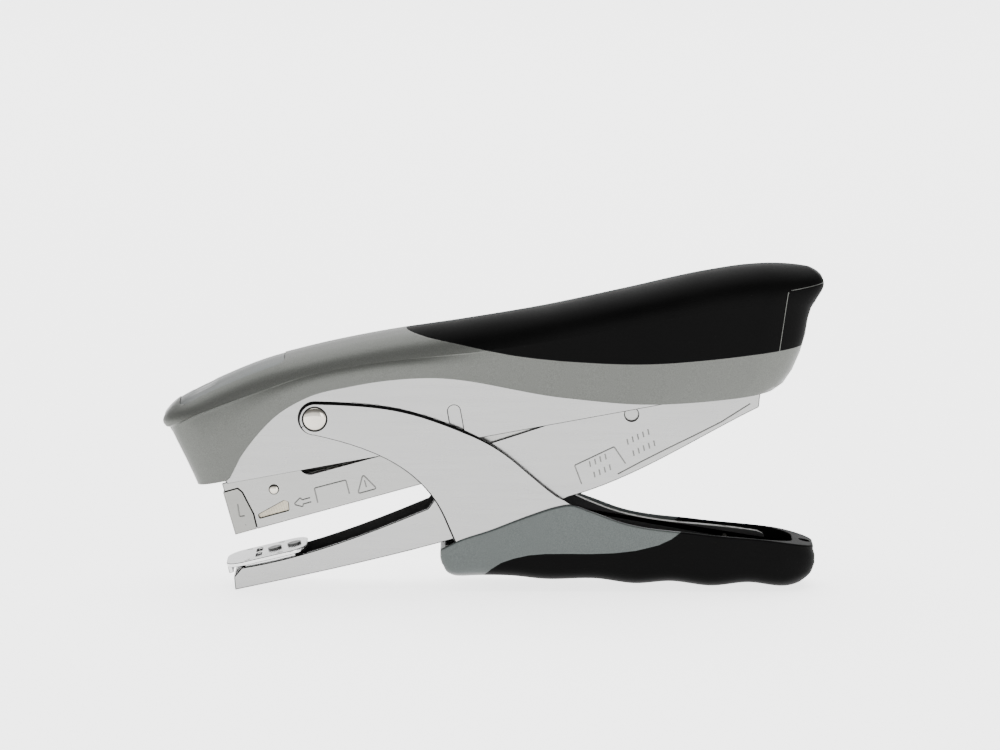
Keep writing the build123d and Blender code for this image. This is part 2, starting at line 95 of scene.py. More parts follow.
@dataclass(frozen=True)
class Profile:
    """A smooth function through points, which runs on straight past its ends."""

    points: tuple[Point, ...]

    def slope(self, index: int) -> float:
        """Slope of the curve at one of its points."""
        middle = min(max(index, 1), len(self.points) - 2)
        (xa, ya), (xb, yb), (xc, yc) = self.points[middle - 1:middle + 2]
        first, second = (yb - ya) / (xb - xa), (yc - yb) / (xc - xb)
        share = (xb - xa) / (xc - xa)
        bend = second - first
        if index < middle:
            return first - share * bend
        if index > middle:
            return second + (1 - share) * bend
        return first + share * bend

    def __call__(self, x: float) -> float:
        """Value at x."""
        first, last = self.points[0], self.points[-1]
        if x <= first[0]:
            return first[1] + (x - first[0]) * self.slope(0)
        if x >= last[0]:
            return last[1] + (x - last[0]) * self.slope(len(self.points) - 1)
        index = next(i for i, point in enumerate(self.points) if point[0] > x) - 1
        (xa, ya), (xb, yb) = self.points[index], self.points[index + 1]
        width = xb - xa
        t = (x - xa) / width
        rise_a = self.slope(index) * width
        rise_b = self.slope(index + 1) * width
        return (
            ya * (2 * t**3 - 3 * t**2 + 1)
            + rise_a * (t**3 - 2 * t**2 + t)
            + yb * (3 * t**2 - 2 * t**3)
            + rise_b * (t**3 - t**2)
        )


def mix(a: float, b: float, t: float) -> float:
    """Straight blend from a to b."""
    return a + (b - a) * t


def smooth_step(low: float, high: float, x: float) -> float:
    """0 below low, 1 above high and a smooth rise between."""
    t = min(1.0, max(0.0, (x - low) / (high - low)))
    return t * t * (3 - 2 * t)


def loft(rows: Sequence[Sequence[Vector]]) -> bmesh.types.BMesh:
    """Skin over rings that all have the same number of points.

    Args:
        rows: closed rings of points in millimetres.

    Returns:
        The skin, with the rings joined in order and doubles merged.
    """
    skin = bmesh.new()
    rings = [[skin.verts.new(point) for point in row] for row in rows]
    count = len(rings[0])
    for lower, upper in zip(rings, rings[1:]):
        for i in range(count):
            j = (i + 1) % count
            skin.faces.new((lower[i], lower[j], upper[j], upper[i]))
    bmesh.ops.remove_doubles(skin, verts=skin.verts, dist=1e-4)
    bmesh.ops.dissolve_degenerate(skin, edges=skin.edges, dist=1e-5)
    bmesh.ops.recalc_face_normals(skin, faces=skin.faces)
    return skin


def whole_ring(half: list[Vector]) -> list[Vector]:
    """Whole ring from its half, which starts and ends on the middle plane."""
    return half + [Vector((point.x, -point.y, point.z)) for point in half[-2:0:-1]]


def gathered(shapes: Sequence[bmesh.types.BMesh]) -> bmesh.types.BMesh:
    """One shape from several.  The several are freed."""
    whole = bmesh.new()
    for shape in shapes:
        part = bpy.data.meshes.new("part")
        shape.to_mesh(part)
        shape.free()
        whole.from_mesh(part)
    return whole


def add_prism(shape: bmesh.types.BMesh, outline: Sequence[Point], ends: Point) -> None:
    """Adds a prism that runs across the tool.

    Args:
        shape: shape in millimetres that it is added to.
        outline: the prism in side view.
        ends: Y of its two end faces.
    """
    near, far = ([shape.verts.new((x, y, z)) for x, z in outline] for y in ends)
    shape.faces.new(near)
    shape.faces.new(far[::-1])
    for i in range(len(near)):
        j = (i + 1) % len(near)
        shape.faces.new((near[j], near[i], far[i], far[j]))


def face_up(skin: bmesh.types.BMesh) -> None:
    """Turns an open skin so that its highest face looks up."""
    highest = max(skin.faces, key=lambda face: face.calc_center_median().z)
    if highest.normal.z < 0:
        bmesh.ops.reverse_faces(skin, faces=skin.faces)


def cut_along(skin: bmesh.types.BMesh, zone: Callable[[Vector], float], snap: float = 0.03) -> None:
    """Cuts the faces of a skin along the line where a zone's value is zero.

    Args:
        skin: mesh to cut, in millimetres.
        zone: value that is positive inside the zone.
        snap: a point nearer to the line than this counts as on it.
    """
    value = {vert: zone(vert.co) for vert in skin.verts}
    for vert, amount in value.items():
        if abs(amount) < snap:
            value[vert] = 0.0
    for edge in list(skin.edges):
        a, b = edge.verts
        if value[a] * value[b] < 0:
            _, middle = bmesh.utils.edge_split(edge, a, value[a] / (value[a] - value[b]))
            value[middle] = 0.0
    for face in list(skin.faces):
        on_line = [vert for vert in face.verts if value[vert] == 0.0]
        signs = {value[vert] > 0 for vert in face.verts if value[vert] != 0.0}
        if len(on_line) == 2 and len(signs) == 2:
            bmesh.utils.face_split(face, on_line[0], on_line[1])


def part_of(skin: bmesh.types.BMesh, keep: Callable[[Vector], bool]) -> bmesh.types.BMesh:
    """Copy of the faces whose centres pass a test."""
    part = skin.copy()
    lost = [face for face in part.faces if not keep(face.calc_center_median())]
    bmesh.ops.delete(part, geom=lost, context="FACES")
    return part


def to_mesh(shape: bmesh.types.BMesh, name: str) -> bpy.types.Mesh:
    """Mesh in metres from a shape in millimetres."""
    mesh = bpy.data.meshes.new(name)
    shape.to_mesh(mesh)
    shape.free()
    mesh.transform(Matrix.Scale(MM, 4))
    return mesh


def linked(name: str, data: bpy.types.ID) -> bpy.types.Object:
    """New object in the scene, from a mesh, a lamp or a camera."""
    made = bpy.data.objects.new(name, data)
    bpy.context.scene.collection.objects.link(made)
    return made


def settled(bench: bpy.types.Object) -> bpy.types.Mesh:
    """Plain mesh of an object with its modifiers worked in.  The object itself is removed."""
    depsgraph = bpy.context.evaluated_depsgraph_get()
    mesh = bpy.data.meshes.new_from_object(bench.evaluated_get(depsgraph), depsgraph=depsgraph)
    bpy.data.objects.remove(bench)
    return mesh


def eased(mesh: bpy.types.Mesh, width: float, segments: int = 2, angle: float = 35.0,
          edge_slot: int = -1, clamp: bool = True) -> bpy.types.Mesh:
    """Mesh with its sharp edges rounded, or only its weighted edges if it has weights.

    Args:
        mesh: closed mesh in metres.
        width: width of the rounding in millimetres.
        segments: number of faces across the rounding.
        angle: edges sharper than this, in degrees, are rounded.
        edge_slot: material index of the rounding, or -1 for its neighbour's.
        clamp: whether short edges make the rounding narrower.

    Returns:
        A new mesh.
    """
    bench = linked("bench", mesh)
    bevel = bench.modifiers.new("ease", "BEVEL")
    bevel.width = width * MM
    bevel.segments = segments
    bevel.limit_method = "WEIGHT" if WEIGHTS in mesh.attributes else "ANGLE"
    bevel.angle_limit = math.radians(angle)
    bevel.miter_outer = "MITER_ARC"
    bevel.material = edge_slot
    bevel.use_clamp_overlap = clamp
    return settled(bench)


def thickened(mesh: bpy.types.Mesh, wall: float, ease: float) -> bpy.types.Mesh:
    """Open skin made into a wall that grows inwards, with eased rims.

    Args:
        mesh: open skin in metres that faces outwards.
        wall: thickness of the wall in millimetres.
        ease: rounding of its rims in millimetres.

    Returns:
        A new closed mesh.
    """
    bench = linked("bench", mesh)
    solid = bench.modifiers.new("wall", "SOLIDIFY")
    solid.thickness = wall * MM
    solid.offset = -1.0
    solid.use_even_offset = True
    return eased(settled(bench), ease, 2, 50.0)


def cutter(shape: bmesh.types.BMesh, name: str) -> bpy.types.Object:
    """Object that cuts another one, from a closed shape in millimetres."""
    bmesh.ops.recalc_face_normals(shape, faces=shape.faces)
    return linked(name, to_mesh(shape, name))


def carved(mesh: bpy.types.Mesh, tool: bpy.types.Object, operation: str) -> bpy.types.Mesh:
    """Mesh after a cut with a tool.

    Args:
        mesh: closed mesh in metres.
        tool: closed object.
        operation: INTERSECT or DIFFERENCE.

    Returns:
        A new mesh.
    """
    bench = linked("bench", mesh)
    boolean = bench.modifiers.new("cut", "BOOLEAN")
    boolean.operation = operation
    boolean.solver = "EXACT"
    boolean.object = tool
    return settled(bench)


def merged_copy(node: str) -> bmesh.types.BMesh:
    """Copy of a CAD node's mesh in millimetres, with its triangles merged into faces."""
    shape = bmesh.new()
    shape.from_mesh(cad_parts[node].data)
    bmesh.ops.scale(shape, vec=(1 / MM,) * 3, verts=shape.verts)
    bmesh.ops.remove_doubles(shape, verts=shape.verts, dist=2e-3)
    bmesh.ops.dissolve_limit(
        shape, angle_limit=math.radians(0.5), verts=shape.verts, edges=shape.edges
    )
    bmesh.ops.recalc_face_normals(shape, faces=shape.faces)
    return shape


def lathe(outline: Sequence[Point], centre: Point, segments: int = 48) -> bmesh.types.BMesh:
    """Piece turned about an axis that runs across the tool.

    Args:
        outline: (distance across, radius) from one end to the other.
        centre: the axis in side view.
        segments: points around.

    Returns:
        The closed piece in millimetres.
    """
    rows = []
    for across, radius in outline:
        row = []
        for step in range(segments):
            angle = 2 * math.pi * step / segments
            row.append(Vector((
                centre[0] + radius * math.cos(angle), across, centre[1] + radius * math.sin(angle)
            )))
        rows.append(row)
    return loft(rows)


def place_piece(name: str, mesh: bpy.types.Mesh, body: Body, slot: str,
                finishes: Sequence[bpy.types.Material], stands_for: Sequence[str] = (),
                smooth: float = 32.0, face_weight: int = 80) -> bpy.types.Object:
    """Puts a finished mesh on its body.

    Args:
        name: the piece's name.
        mesh: mesh in metres, in its place.
        body: group it moves with.
        slot: the record's material slot; not used.
        finishes: materials in the order of the mesh's indices.
        stands_for: CAD nodes it replaces.
        smooth: edges flatter than this, in degrees, are shaded smooth.
        face_weight: how much large faces set the shading; 50 treats all faces alike.

    Returns:
        The object.
    """
    indices = [face.material_index for face in mesh.polygons]
    mesh.materials.clear()
    for finish in finishes:
        mesh.materials.append(finish)
    mesh.polygons.foreach_set("material_index", indices)
    mesh.shade_smooth()
    mesh.set_sharp_from_angle(angle=math.radians(smooth))
    bench = linked("bench", mesh)
    even = bench.modifiers.new("even", "WEIGHTED_NORMAL")
    even.weight = face_weight
    even.keep_sharp = True
    mesh = settled(bench)
    mesh.name = name
    piece = linked(name, mesh)
    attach(piece, body.value)
    if stands_for:
        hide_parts(*stands_for)
    LOG.info("%s: %d faces on %s", name, len(mesh.polygons), body.value)
    return piece


# Finishes ----------------------------------------------------------------------------------


def shade(colour: Colour, factor: float) -> Colour:
    """Colour made darker or lighter, but no lighter than white."""
    return tuple(min(1.0, channel * factor) for channel in colour)


class Shader:
    """A material's node tree, with the calls that the finishes share."""

    def __init__(self, name: str) -> None:
        """Starts a material with one surface shader."""
        self.material = bpy.data.materials.new(name)
        self.material.use_nodes = True
        self.tree = self.material.node_tree
        self.tree.nodes.clear()
        output = self.tree.nodes.new("ShaderNodeOutputMaterial")
        self.surface = self.tree.nodes.new("ShaderNodeBsdfPrincipled")
        self.tree.links.new(self.surface.outputs["BSDF"], output.inputs["Surface"])
        self.coordinates = self.tree.nodes.new("ShaderNodeTexCoord").outputs["Object"]

    def set(self, **values: float | tuple) -> None:
        """Sets inputs of the surface shader; an underscore in a name stands for a space."""
        for name, value in values.items():
            self.surface.inputs[name.replace("_", " ")].default_value = value

    def join(self, source: bpy.types.NodeSocket, name: str) -> None:
        """Joins a socket to an input of the surface shader."""
        self.tree.links.new(source, self.surface.inputs[name])

    def noise(self, scale: float, detail: float = 3.0,
              stretch: tuple[float, float, float] = (1.0, 1.0, 1.0), turn: float = 0.0
              ) -> bpy.types.NodeSocket:
        """Noise on the object's own coordinates.

        Args:
            scale: waves per metre.
            detail: how much finer noise is added.
            stretch: scale along each axis.
            turn: turn of the pattern about Y, in degrees.

        Returns:
            A socket with a value from 0 to 1.
        """
        mapping = self.tree.nodes.new("ShaderNodeMapping")
        mapping.inputs["Scale"].default_value = stretch
        mapping.inputs["Rotation"].default_value = (0.0, math.radians(turn), 0.0)
        self.tree.links.new(self.coordinates, mapping.inputs["Vector"])
        noise = self.tree.nodes.new("ShaderNodeTexNoise")
        noise.inputs["Scale"].default_value = scale
        noise.inputs["Detail"].default_value = detail
        self.tree.links.new(mapping.outputs["Vector"], noise.inputs["Vector"])
        return noise.outputs["Fac"]

    def spread(self, source: bpy.types.NodeSocket, low: float, high: float,
               start: float = 0.3, end: float = 0.7) -> bpy.types.NodeSocket:
        """Maps a value from start..end to low..high."""
        node = self.tree.nodes.new("ShaderNodeMapRange")
        self.tree.links.new(source, node.inputs["Value"])
        limits = {"From Min": start, "From Max": end, "To Min": low, "To Max": high}
        for name, value in limits.items():
            node.inputs[name].default_value = value
        return node.outputs["Result"]

    def blend(self, factor: bpy.types.NodeSocket, first: Colour | bpy.types.NodeSocket,
              second: Colour | bpy.types.NodeSocket) -> bpy.types.NodeSocket:
        """Colour between two colours."""
        node = self.tree.nodes.new("ShaderNodeMix")
        node.data_type = "RGBA"
        self.tree.links.new(factor, node.inputs[0])
        for socket, colour in ((node.inputs[6], first), (node.inputs[7], second)):
            if isinstance(colour, bpy.types.NodeSocket):
                self.tree.links.new(colour, socket)
            else:
                socket.default_value = (*colour, 1.0)
        return node.outputs[2]

    def math(self, operation: str, a: bpy.types.NodeSocket | float,
             b: bpy.types.NodeSocket | float = 0.0) -> bpy.types.NodeSocket:
        """One step of arithmetic on sockets or numbers."""
        node = self.tree.nodes.new("ShaderNodeMath")
        node.operation = operation
        for socket, value in zip(node.inputs, (a, b)):
            if isinstance(value, bpy.types.NodeSocket):
                self.tree.links.new(value, socket)
            else:
                socket.default_value = value
        return node.outputs[0]

    def relief(self, height: bpy.types.NodeSocket, depth: float, strength: float = 1.0) -> None:
        """Bump of a depth in millimetres."""
        bump = self.tree.nodes.new("ShaderNodeBump")
        bump.inputs["Strength"].default_value = strength
        bump.inputs["Distance"].default_value = depth * MM
        self.tree.links.new(height, bump.inputs["Height"])
        self.join(bump.outputs["Normal"], "Normal")


@dataclass(frozen=True)
class PlatedSteel:
    """Nickel-plated sheet with faint rolling lines, cloudy gloss and fine scratches."""

    name: str
    colour: Colour = (0.3, 0.3, 0.296)
    roughness: float = 0.24
    grain_turn: float = 0.0

    def build(self) -> bpy.types.Material:
        """Makes the material."""
        shader = Shader(self.name)
        clouds = shader.noise(90, 4)
        lines = shader.noise(700, 2, (0.06, 1.0, 1.0), self.grain_turn)
        scratches = shader.noise(2600, 1, (0.02, 1.0, 1.0), self.grain_turn + 35)
        darker = shade(self.colour, 0.93)
        colour = shader.blend(shader.spread(clouds, 0, 1), darker, self.colour)
        shader.join(colour, "Base Color")
        gloss = shader.math(
            "ADD",
            shader.spread(clouds, self.roughness - 0.05, self.roughness + 0.05),
            shader.spread(lines, -0.03, 0.04),
        )
        scuffs = shader.spread(scratches, 0.0, 0.05, 0.62, 0.7)
        shader.join(shader.math("ADD", gloss, scuffs), "Roughness")
        shader.relief(lines, 0.004, 0.35)
        shader.set(Metallic=1.0)
        return shader.material


@dataclass(frozen=True)
class BareSteel:
    """Plain or darkened steel for pins, wire and blades, and the dark colours that paint shade on
    eased edges and raised ridges.
    """

    name: str
    colour: Colour = (0.4, 0.4, 0.39)
    roughness: float = 0.3
    grain: float = 1800.0

    def build(self) -> bpy.types.Material:
        """Makes the material."""
        shader = Shader(self.name)
        mottle = shader.noise(self.grain, 3)
        broad = shader.noise(160, 2)
        darker = shade(self.colour, 0.8)
        shader.join(shader.blend(shader.spread(broad, 0, 1), darker, self.colour), "Base Color")
        shader.join(shader.spread(mottle, self.roughness * 0.8, self.roughness * 1.25), "Roughness")
        shader.relief(mottle, 0.003, 0.3)
        shader.set(Metallic=1.0)
        return shader.material


@dataclass(frozen=True)
class SatinPaint:
    """Silver or grey paint with fine flakes over smooth moulded plastic."""

    name: str
    colour: Colour
    roughness: float = 0.42
    metallic: float = 0.65

    def build(self) -> bpy.types.Material:
        """Makes the material."""
        shader = Shader(self.name)
        flakes = shader.noise(5200, 1)
        clouds = shader.noise(60, 3)
        light = shade(self.colour, 1.18)
        dark = shade(self.colour, 0.86)
        speckle = shader.blend(shader.spread(flakes, 0, 1, 0.35, 0.68), dark, light)
        clouded = shader.blend(shader.spread(clouds, 0.0, 0.25), speckle, self.colour)
        shader.join(clouded, "Base Color")
        gloss = shader.spread(flakes, self.roughness + 0.06, self.roughness - 0.06)
        shader.join(gloss, "Roughness")
        shader.relief(shader.noise(2400, 2), 0.006, 0.25)
        shader.set(Metallic=self.metallic, Coat_Weight=0.12, Coat_Roughness=0.25)
        return shader.material


@dataclass(frozen=True)
class SoftRubber:
    """Black overmoulded rubber with a fine spark-eroded grain and a polish where it is held."""

    name: str
    colour: Colour = (0.001, 0.001, 0.001)
    roughness: float = 0.48

    def build(self) -> bpy.types.Material:
        """Makes the material."""
        shader = Shader(self.name)
        grain = shader.noise(3600, 2)
        wear = shader.noise(45, 3)
        worn = shade(self.colour, 1.7)
        shader.join(shader.blend(shader.spread(wear, 0, 1), self.colour, worn), "Base Color")
        gloss = shader.math(
            "ADD",
            shader.spread(wear, self.roughness - 0.06, self.roughness + 0.05),
            shader.spread(grain, -0.04, 0.04),
        )
        shader.join(gloss, "Roughness")
        shader.relief(grain, 0.012, 0.5)
        shader.set(Specular_IOR_Level=0.03)
        return shader.material


@dataclass(frozen=True)
class MouldedPlastic:
    """Plain moulded plastic with a faint grain."""

    name: str
    colour: Colour
    roughness: float = 0.4

    def build(self) -> bpy.types.Material:
        """Makes the material."""
        shader = Shader(self.name)
        grain = shader.noise(2200, 3)
        dark = shade(self.colour, 0.8)
        shader.join(shader.blend(shader.spread(grain, 0, 1), dark, self.colour), "Base Color")
        shader.join(shader.spread(grain, self.roughness - 0.05, self.roughness + 0.07), "Roughness")
        shader.relief(grain, 0.008, 0.3)
        return shader.material


@dataclass(frozen=True)
class PaleFloor:
    """Matt white floor with hardly any pattern, lit from within like a light table."""

    name: str = "pale_floor"
    colour: Colour = (0.93, 0.93, 0.925)
    glow: float = 2.5

    def build(self) -> bpy.types.Material:
        """Makes the material."""
        shader = Shader(self.name)
        clouds = shader.noise(3, 2)
        dark = shade(self.colour, 0.99)
        shader.join(shader.blend(shader.spread(clouds, 0, 1), dark, self.colour), "Base Color")
        shader.join(shader.spread(clouds, 0.75, 0.85), "Roughness")
        shader.set(Emission_Color=(1.0, 1.0, 1.0, 1.0), Emission_Strength=self.glow)
        return shader.material


@dataclass
class Finishes:
    """Every finish of the tool, made once."""

    sheet: bpy.types.Material = field(init=False)
    case: bpy.types.Material = field(init=False)
    flap: bpy.types.Material = field(init=False)
    mark: bpy.types.Material = field(init=False)
    inside_shade: bpy.types.Material = field(init=False)
    edge_light: bpy.types.Material = field(init=False)
    arm: bpy.types.Material = field(init=False)
    anvil: bpy.types.Material = field(init=False)
    edge: bpy.types.Material = field(init=False)
    rivet: bpy.types.Material = field(init=False)
    dark: bpy.types.Material = field(init=False)
    spring: bpy.types.Material = field(init=False)
    staple: bpy.types.Material = field(init=False)
    cover: bpy.types.Material = field(init=False)
    inlay: bpy.types.Material = field(init=False)
    handle: bpy.types.Material = field(init=False)
    rubber: bpy.types.Material = field(init=False)
    follower: bpy.types.Material = field(init=False)

    def __post_init__(self) -> None:
        """Builds the materials."""
        self.sheet = PlatedSteel("plated_sheet").build()
        self.case = PlatedSteel("plated_case", (0.28, 0.28, 0.272), 0.27, 15.5).build()
        self.flap = PlatedSteel("plated_flap", (0.22, 0.22, 0.207), 0.3, 75.0).build()
        self.arm = PlatedSteel("plated_arm", grain_turn=-13.0).build()
        self.anvil = PlatedSteel("plated_anvil", (0.6, 0.6, 0.6), 0.2, 13.4).build()
        # Near black on eased sheet edges: painted shade and dark reflection along the edges.
        self.edge = BareSteel("painted_edge_shade", (0.01, 0.01, 0.01), 0.35).build()
        # Darker colour of the raised ridges: painted shade on their edges.
        self.mark = BareSteel("painted_ridge_shade", (0.12, 0.12, 0.115), 0.25).build()
        # Near black inside the channels and the trough: painted shade.
        self.inside_shade = MouldedPlastic("painted_inside_shade", (0.004, 0.004, 0.004), 0.7).build()
        # Light matt grey on upward lever plate edges in the trough: painted light.
        self.edge_light = MouldedPlastic("painted_edge_light", (0.5, 0.5, 0.49), 0.5).build()
        self.rivet = BareSteel("polished_rivet", (0.55, 0.52, 0.46), 0.1).build()
        self.dark = BareSteel("darkened_steel", (0.08, 0.08, 0.08), 0.4).build()
        self.spring = BareSteel("spring_wire", (0.3, 0.29, 0.27), 0.3).build()
        self.staple = BareSteel("staple_wire", (0.33, 0.3, 0.24), 0.25, 900).build()
        self.cover = SatinPaint("silver_paint", (0.077, 0.08, 0.073)).build()
        self.inlay = SatinPaint("silver_inlay", (0.076, 0.082, 0.08), 0.38).build()
        self.handle = SatinPaint("grey_paint", (0.053, 0.061, 0.059)).build()
        self.rubber = SoftRubber("soft_rubber").build()
        self.follower = MouldedPlastic("follower_plastic", (0.04, 0.04, 0.042)).build()


# Node trees --------------------------------------------------------------------------------


class NodeTree:
    """A geometry node tree with named inputs."""

    def __init__(self, name: str, inputs: dict[str, tuple[str, float | int | None]]) -> None:
        """Starts a tree.

        Args:
            name: the tree's name.
            inputs: socket type and default value by input name.
        """
        self.tree = bpy.data.node_groups.new(name, "GeometryNodeTree")
        face = self.tree.interface
        face.new_socket(name="Geometry", in_out="INPUT", socket_type="NodeSocketGeometry")
        for label, (kind, value) in inputs.items():
            socket = face.new_socket(name=label, in_out="INPUT", socket_type=kind)
            if value is not None:
                socket.default_value = value
        face.new_socket(name="Material", in_out="INPUT", socket_type="NodeSocketMaterial")
        face.new_socket(name="Geometry", in_out="OUTPUT", socket_type="NodeSocketGeometry")
        self.inputs = self.tree.nodes.new("NodeGroupInput").outputs

    def add(self, kind: str, values: dict | None = None, **settings: str) -> bpy.types.Node:
        """Adds a node and sets or joins its inputs.

        Args:
            kind: the node's type.
            values: a value or a socket by input name.
            settings: the node's own properties.

        Returns:
            The node.
        """
        node = self.tree.nodes.new(kind)
        for name, value in settings.items():
            setattr(node, name, value)
        for name, value in (values or {}).items():
            if isinstance(value, bpy.types.NodeSocket):
                self.tree.links.new(value, node.inputs[name])
            else:
                node.inputs[name].default_value = value
        return node

    def bent_line(self, count: int) -> bpy.types.NodeSocket:
        """The source mesh's lines as curves, with a number of points round each corner."""
        line = self.add("GeometryNodeMeshToCurve", {"Mesh": self.inputs["Geometry"]})
        bent = self.add("GeometryNodeFilletCurve", {
            "Curve": line.outputs[0], "Radius": self.inputs["Corner"], "Count": count,
            "Limit Radius": True,
        }, mode="POLY")
        return bent.outputs[0]

    def round_section(self, points: int) -> bpy.types.Node:
        """Circle of the wire's radius, to sweep along a line."""
        return self.add("GeometryNodeCurvePrimitiveCircle", {
            "Resolution": points, "Radius": self.inputs["Wire"],
        })

    def sweep(self, curve: bpy.types.NodeSocket, section: bpy.types.Node) -> bpy.types.NodeSocket:
        """Section swept along a curve, with closed ends."""
        return self.add("GeometryNodeCurveToMesh", {
            "Curve": curve, "Profile Curve": section.outputs[0], "Fill Caps": True,
        }).outputs[0]

    def end(self, geometry: bpy.types.NodeSocket) -> None:
        """Realizes the instances, sets the material and joins the output."""
        real = self.add("GeometryNodeRealizeInstances", {"Geometry": geometry})
        dressed = self.add(
            "GeometryNodeSetMaterial",
            {"Geometry": real.outputs[0], "Material": self.inputs["Material"]},
        )
        output = self.tree.nodes.new("NodeGroupOutput")
        self.tree.links.new(dressed.outputs[0], output.inputs[0])

    def grow(self, source: bpy.types.Mesh, material: bpy.types.Material,
             **values: float | int) -> bpy.types.Mesh:
        """Runs the tree on a mesh.

        Args:
            source: mesh that the tree starts from.
            material: the result's material.
            values: value by input name, with an underscore for a space.

        Returns:
            The result as a plain mesh.
        """
        sockets = {
            item.name: item.identifier
            for item in self.tree.interface.items_tree
            if item.in_out == "INPUT"
        }
        bench = bpy.data.objects.new("bench", source)
        nodes = bench.modifiers.new("grow", "NODES")
        nodes.node_group = self.tree
        nodes[sockets["Material"]] = material
        for name, value in values.items():
            nodes[sockets[name.replace("_", " ")]] = value
        bpy.context.scene.collection.objects.link(bench)
        return settled(bench)


def line_mesh(lines: Sequence[Sequence[Vector]]) -> bpy.types.Mesh:
    """Mesh of edges only, in metres, from open or closed lines in millimetres."""
    points, edges = [], []
    for line in lines:
        start = len(points)
        closed = (line[0] - line[-1]).length < 1e-6
        used = line[:-1] if closed else line
        points.extend(point * MM for point in used)
        edges.extend((start + i, start + i + 1) for i in range(len(used) - 1))
        if closed:
            edges.append((start + len(used) - 1, start))
    mesh = bpy.data.meshes.new("lines")
    mesh.from_pydata(points, edges, [])
    return mesh


def coil_tree() -> NodeTree:
    """Wire wound on a straight axis along Z, centred on the origin."""
    tree = NodeTree("wound_wire", {
        "Turns": ("NodeSocketFloat", 8.0),
        "Radius": ("NodeSocketFloat", 0.002),
        "Length": ("NodeSocketFloat", 0.01),
        "Wire": ("NodeSocketFloat", 0.0003),
    })
    spiral = tree.add("GeometryNodeCurveSpiral", {
        "Resolution": 20, "Rotations": tree.inputs["Turns"], "Height": tree.inputs["Length"],
        "Start Radius": tree.inputs["Radius"], "End Radius": tree.inputs["Radius"],
    })
    tree.end(tree.sweep(spiral.outputs[0], tree.round_section(8)))
    return tree


def wire_tree() -> NodeTree:
    """Round wire or raised ridge along every line of the source mesh, with eased corners."""
    tree = NodeTree("line_wire", {
        "Wire": ("NodeSocketFloat", 0.0002),
        "Corner": ("NodeSocketFloat", 0.0003),
    })
    tree.end(tree.sweep(tree.bent_line(5), tree.round_section(10)))
    return tree


def staple_tree() -> NodeTree:
    """Staples side by side along X, each swept along the source line."""
    tree = NodeTree("staple_row", {
        "Count": ("NodeSocketInt", 70),
        "Pitch": ("NodeSocketFloat", 0.0007),
        "Wire": ("NodeSocketFloat", 0.0006),
        "Corner": ("NodeSocketFloat", 0.0006),
    })
    section = tree.add("GeometryNodeCurvePrimitiveQuadrilateral", {
        "Width": tree.inputs["Wire"], "Height": tree.inputs["Wire"],
    })
    staple = tree.sweep(tree.bent_line(2), section)
    step = tree.add("ShaderNodeCombineXYZ", {"X": tree.inputs["Pitch"]})
    row = tree.add("GeometryNodeMeshLine", {
        "Count": tree.inputs["Count"], "Offset": step.outputs[0],
    })
    placed = tree.add("GeometryNodeInstanceOnPoints", {
        "Points": row.outputs[0], "Instance": staple,
    })
    tree.end(placed.outputs[0])
    return tree


# Upper handle ------------------------------------------------------------------------------


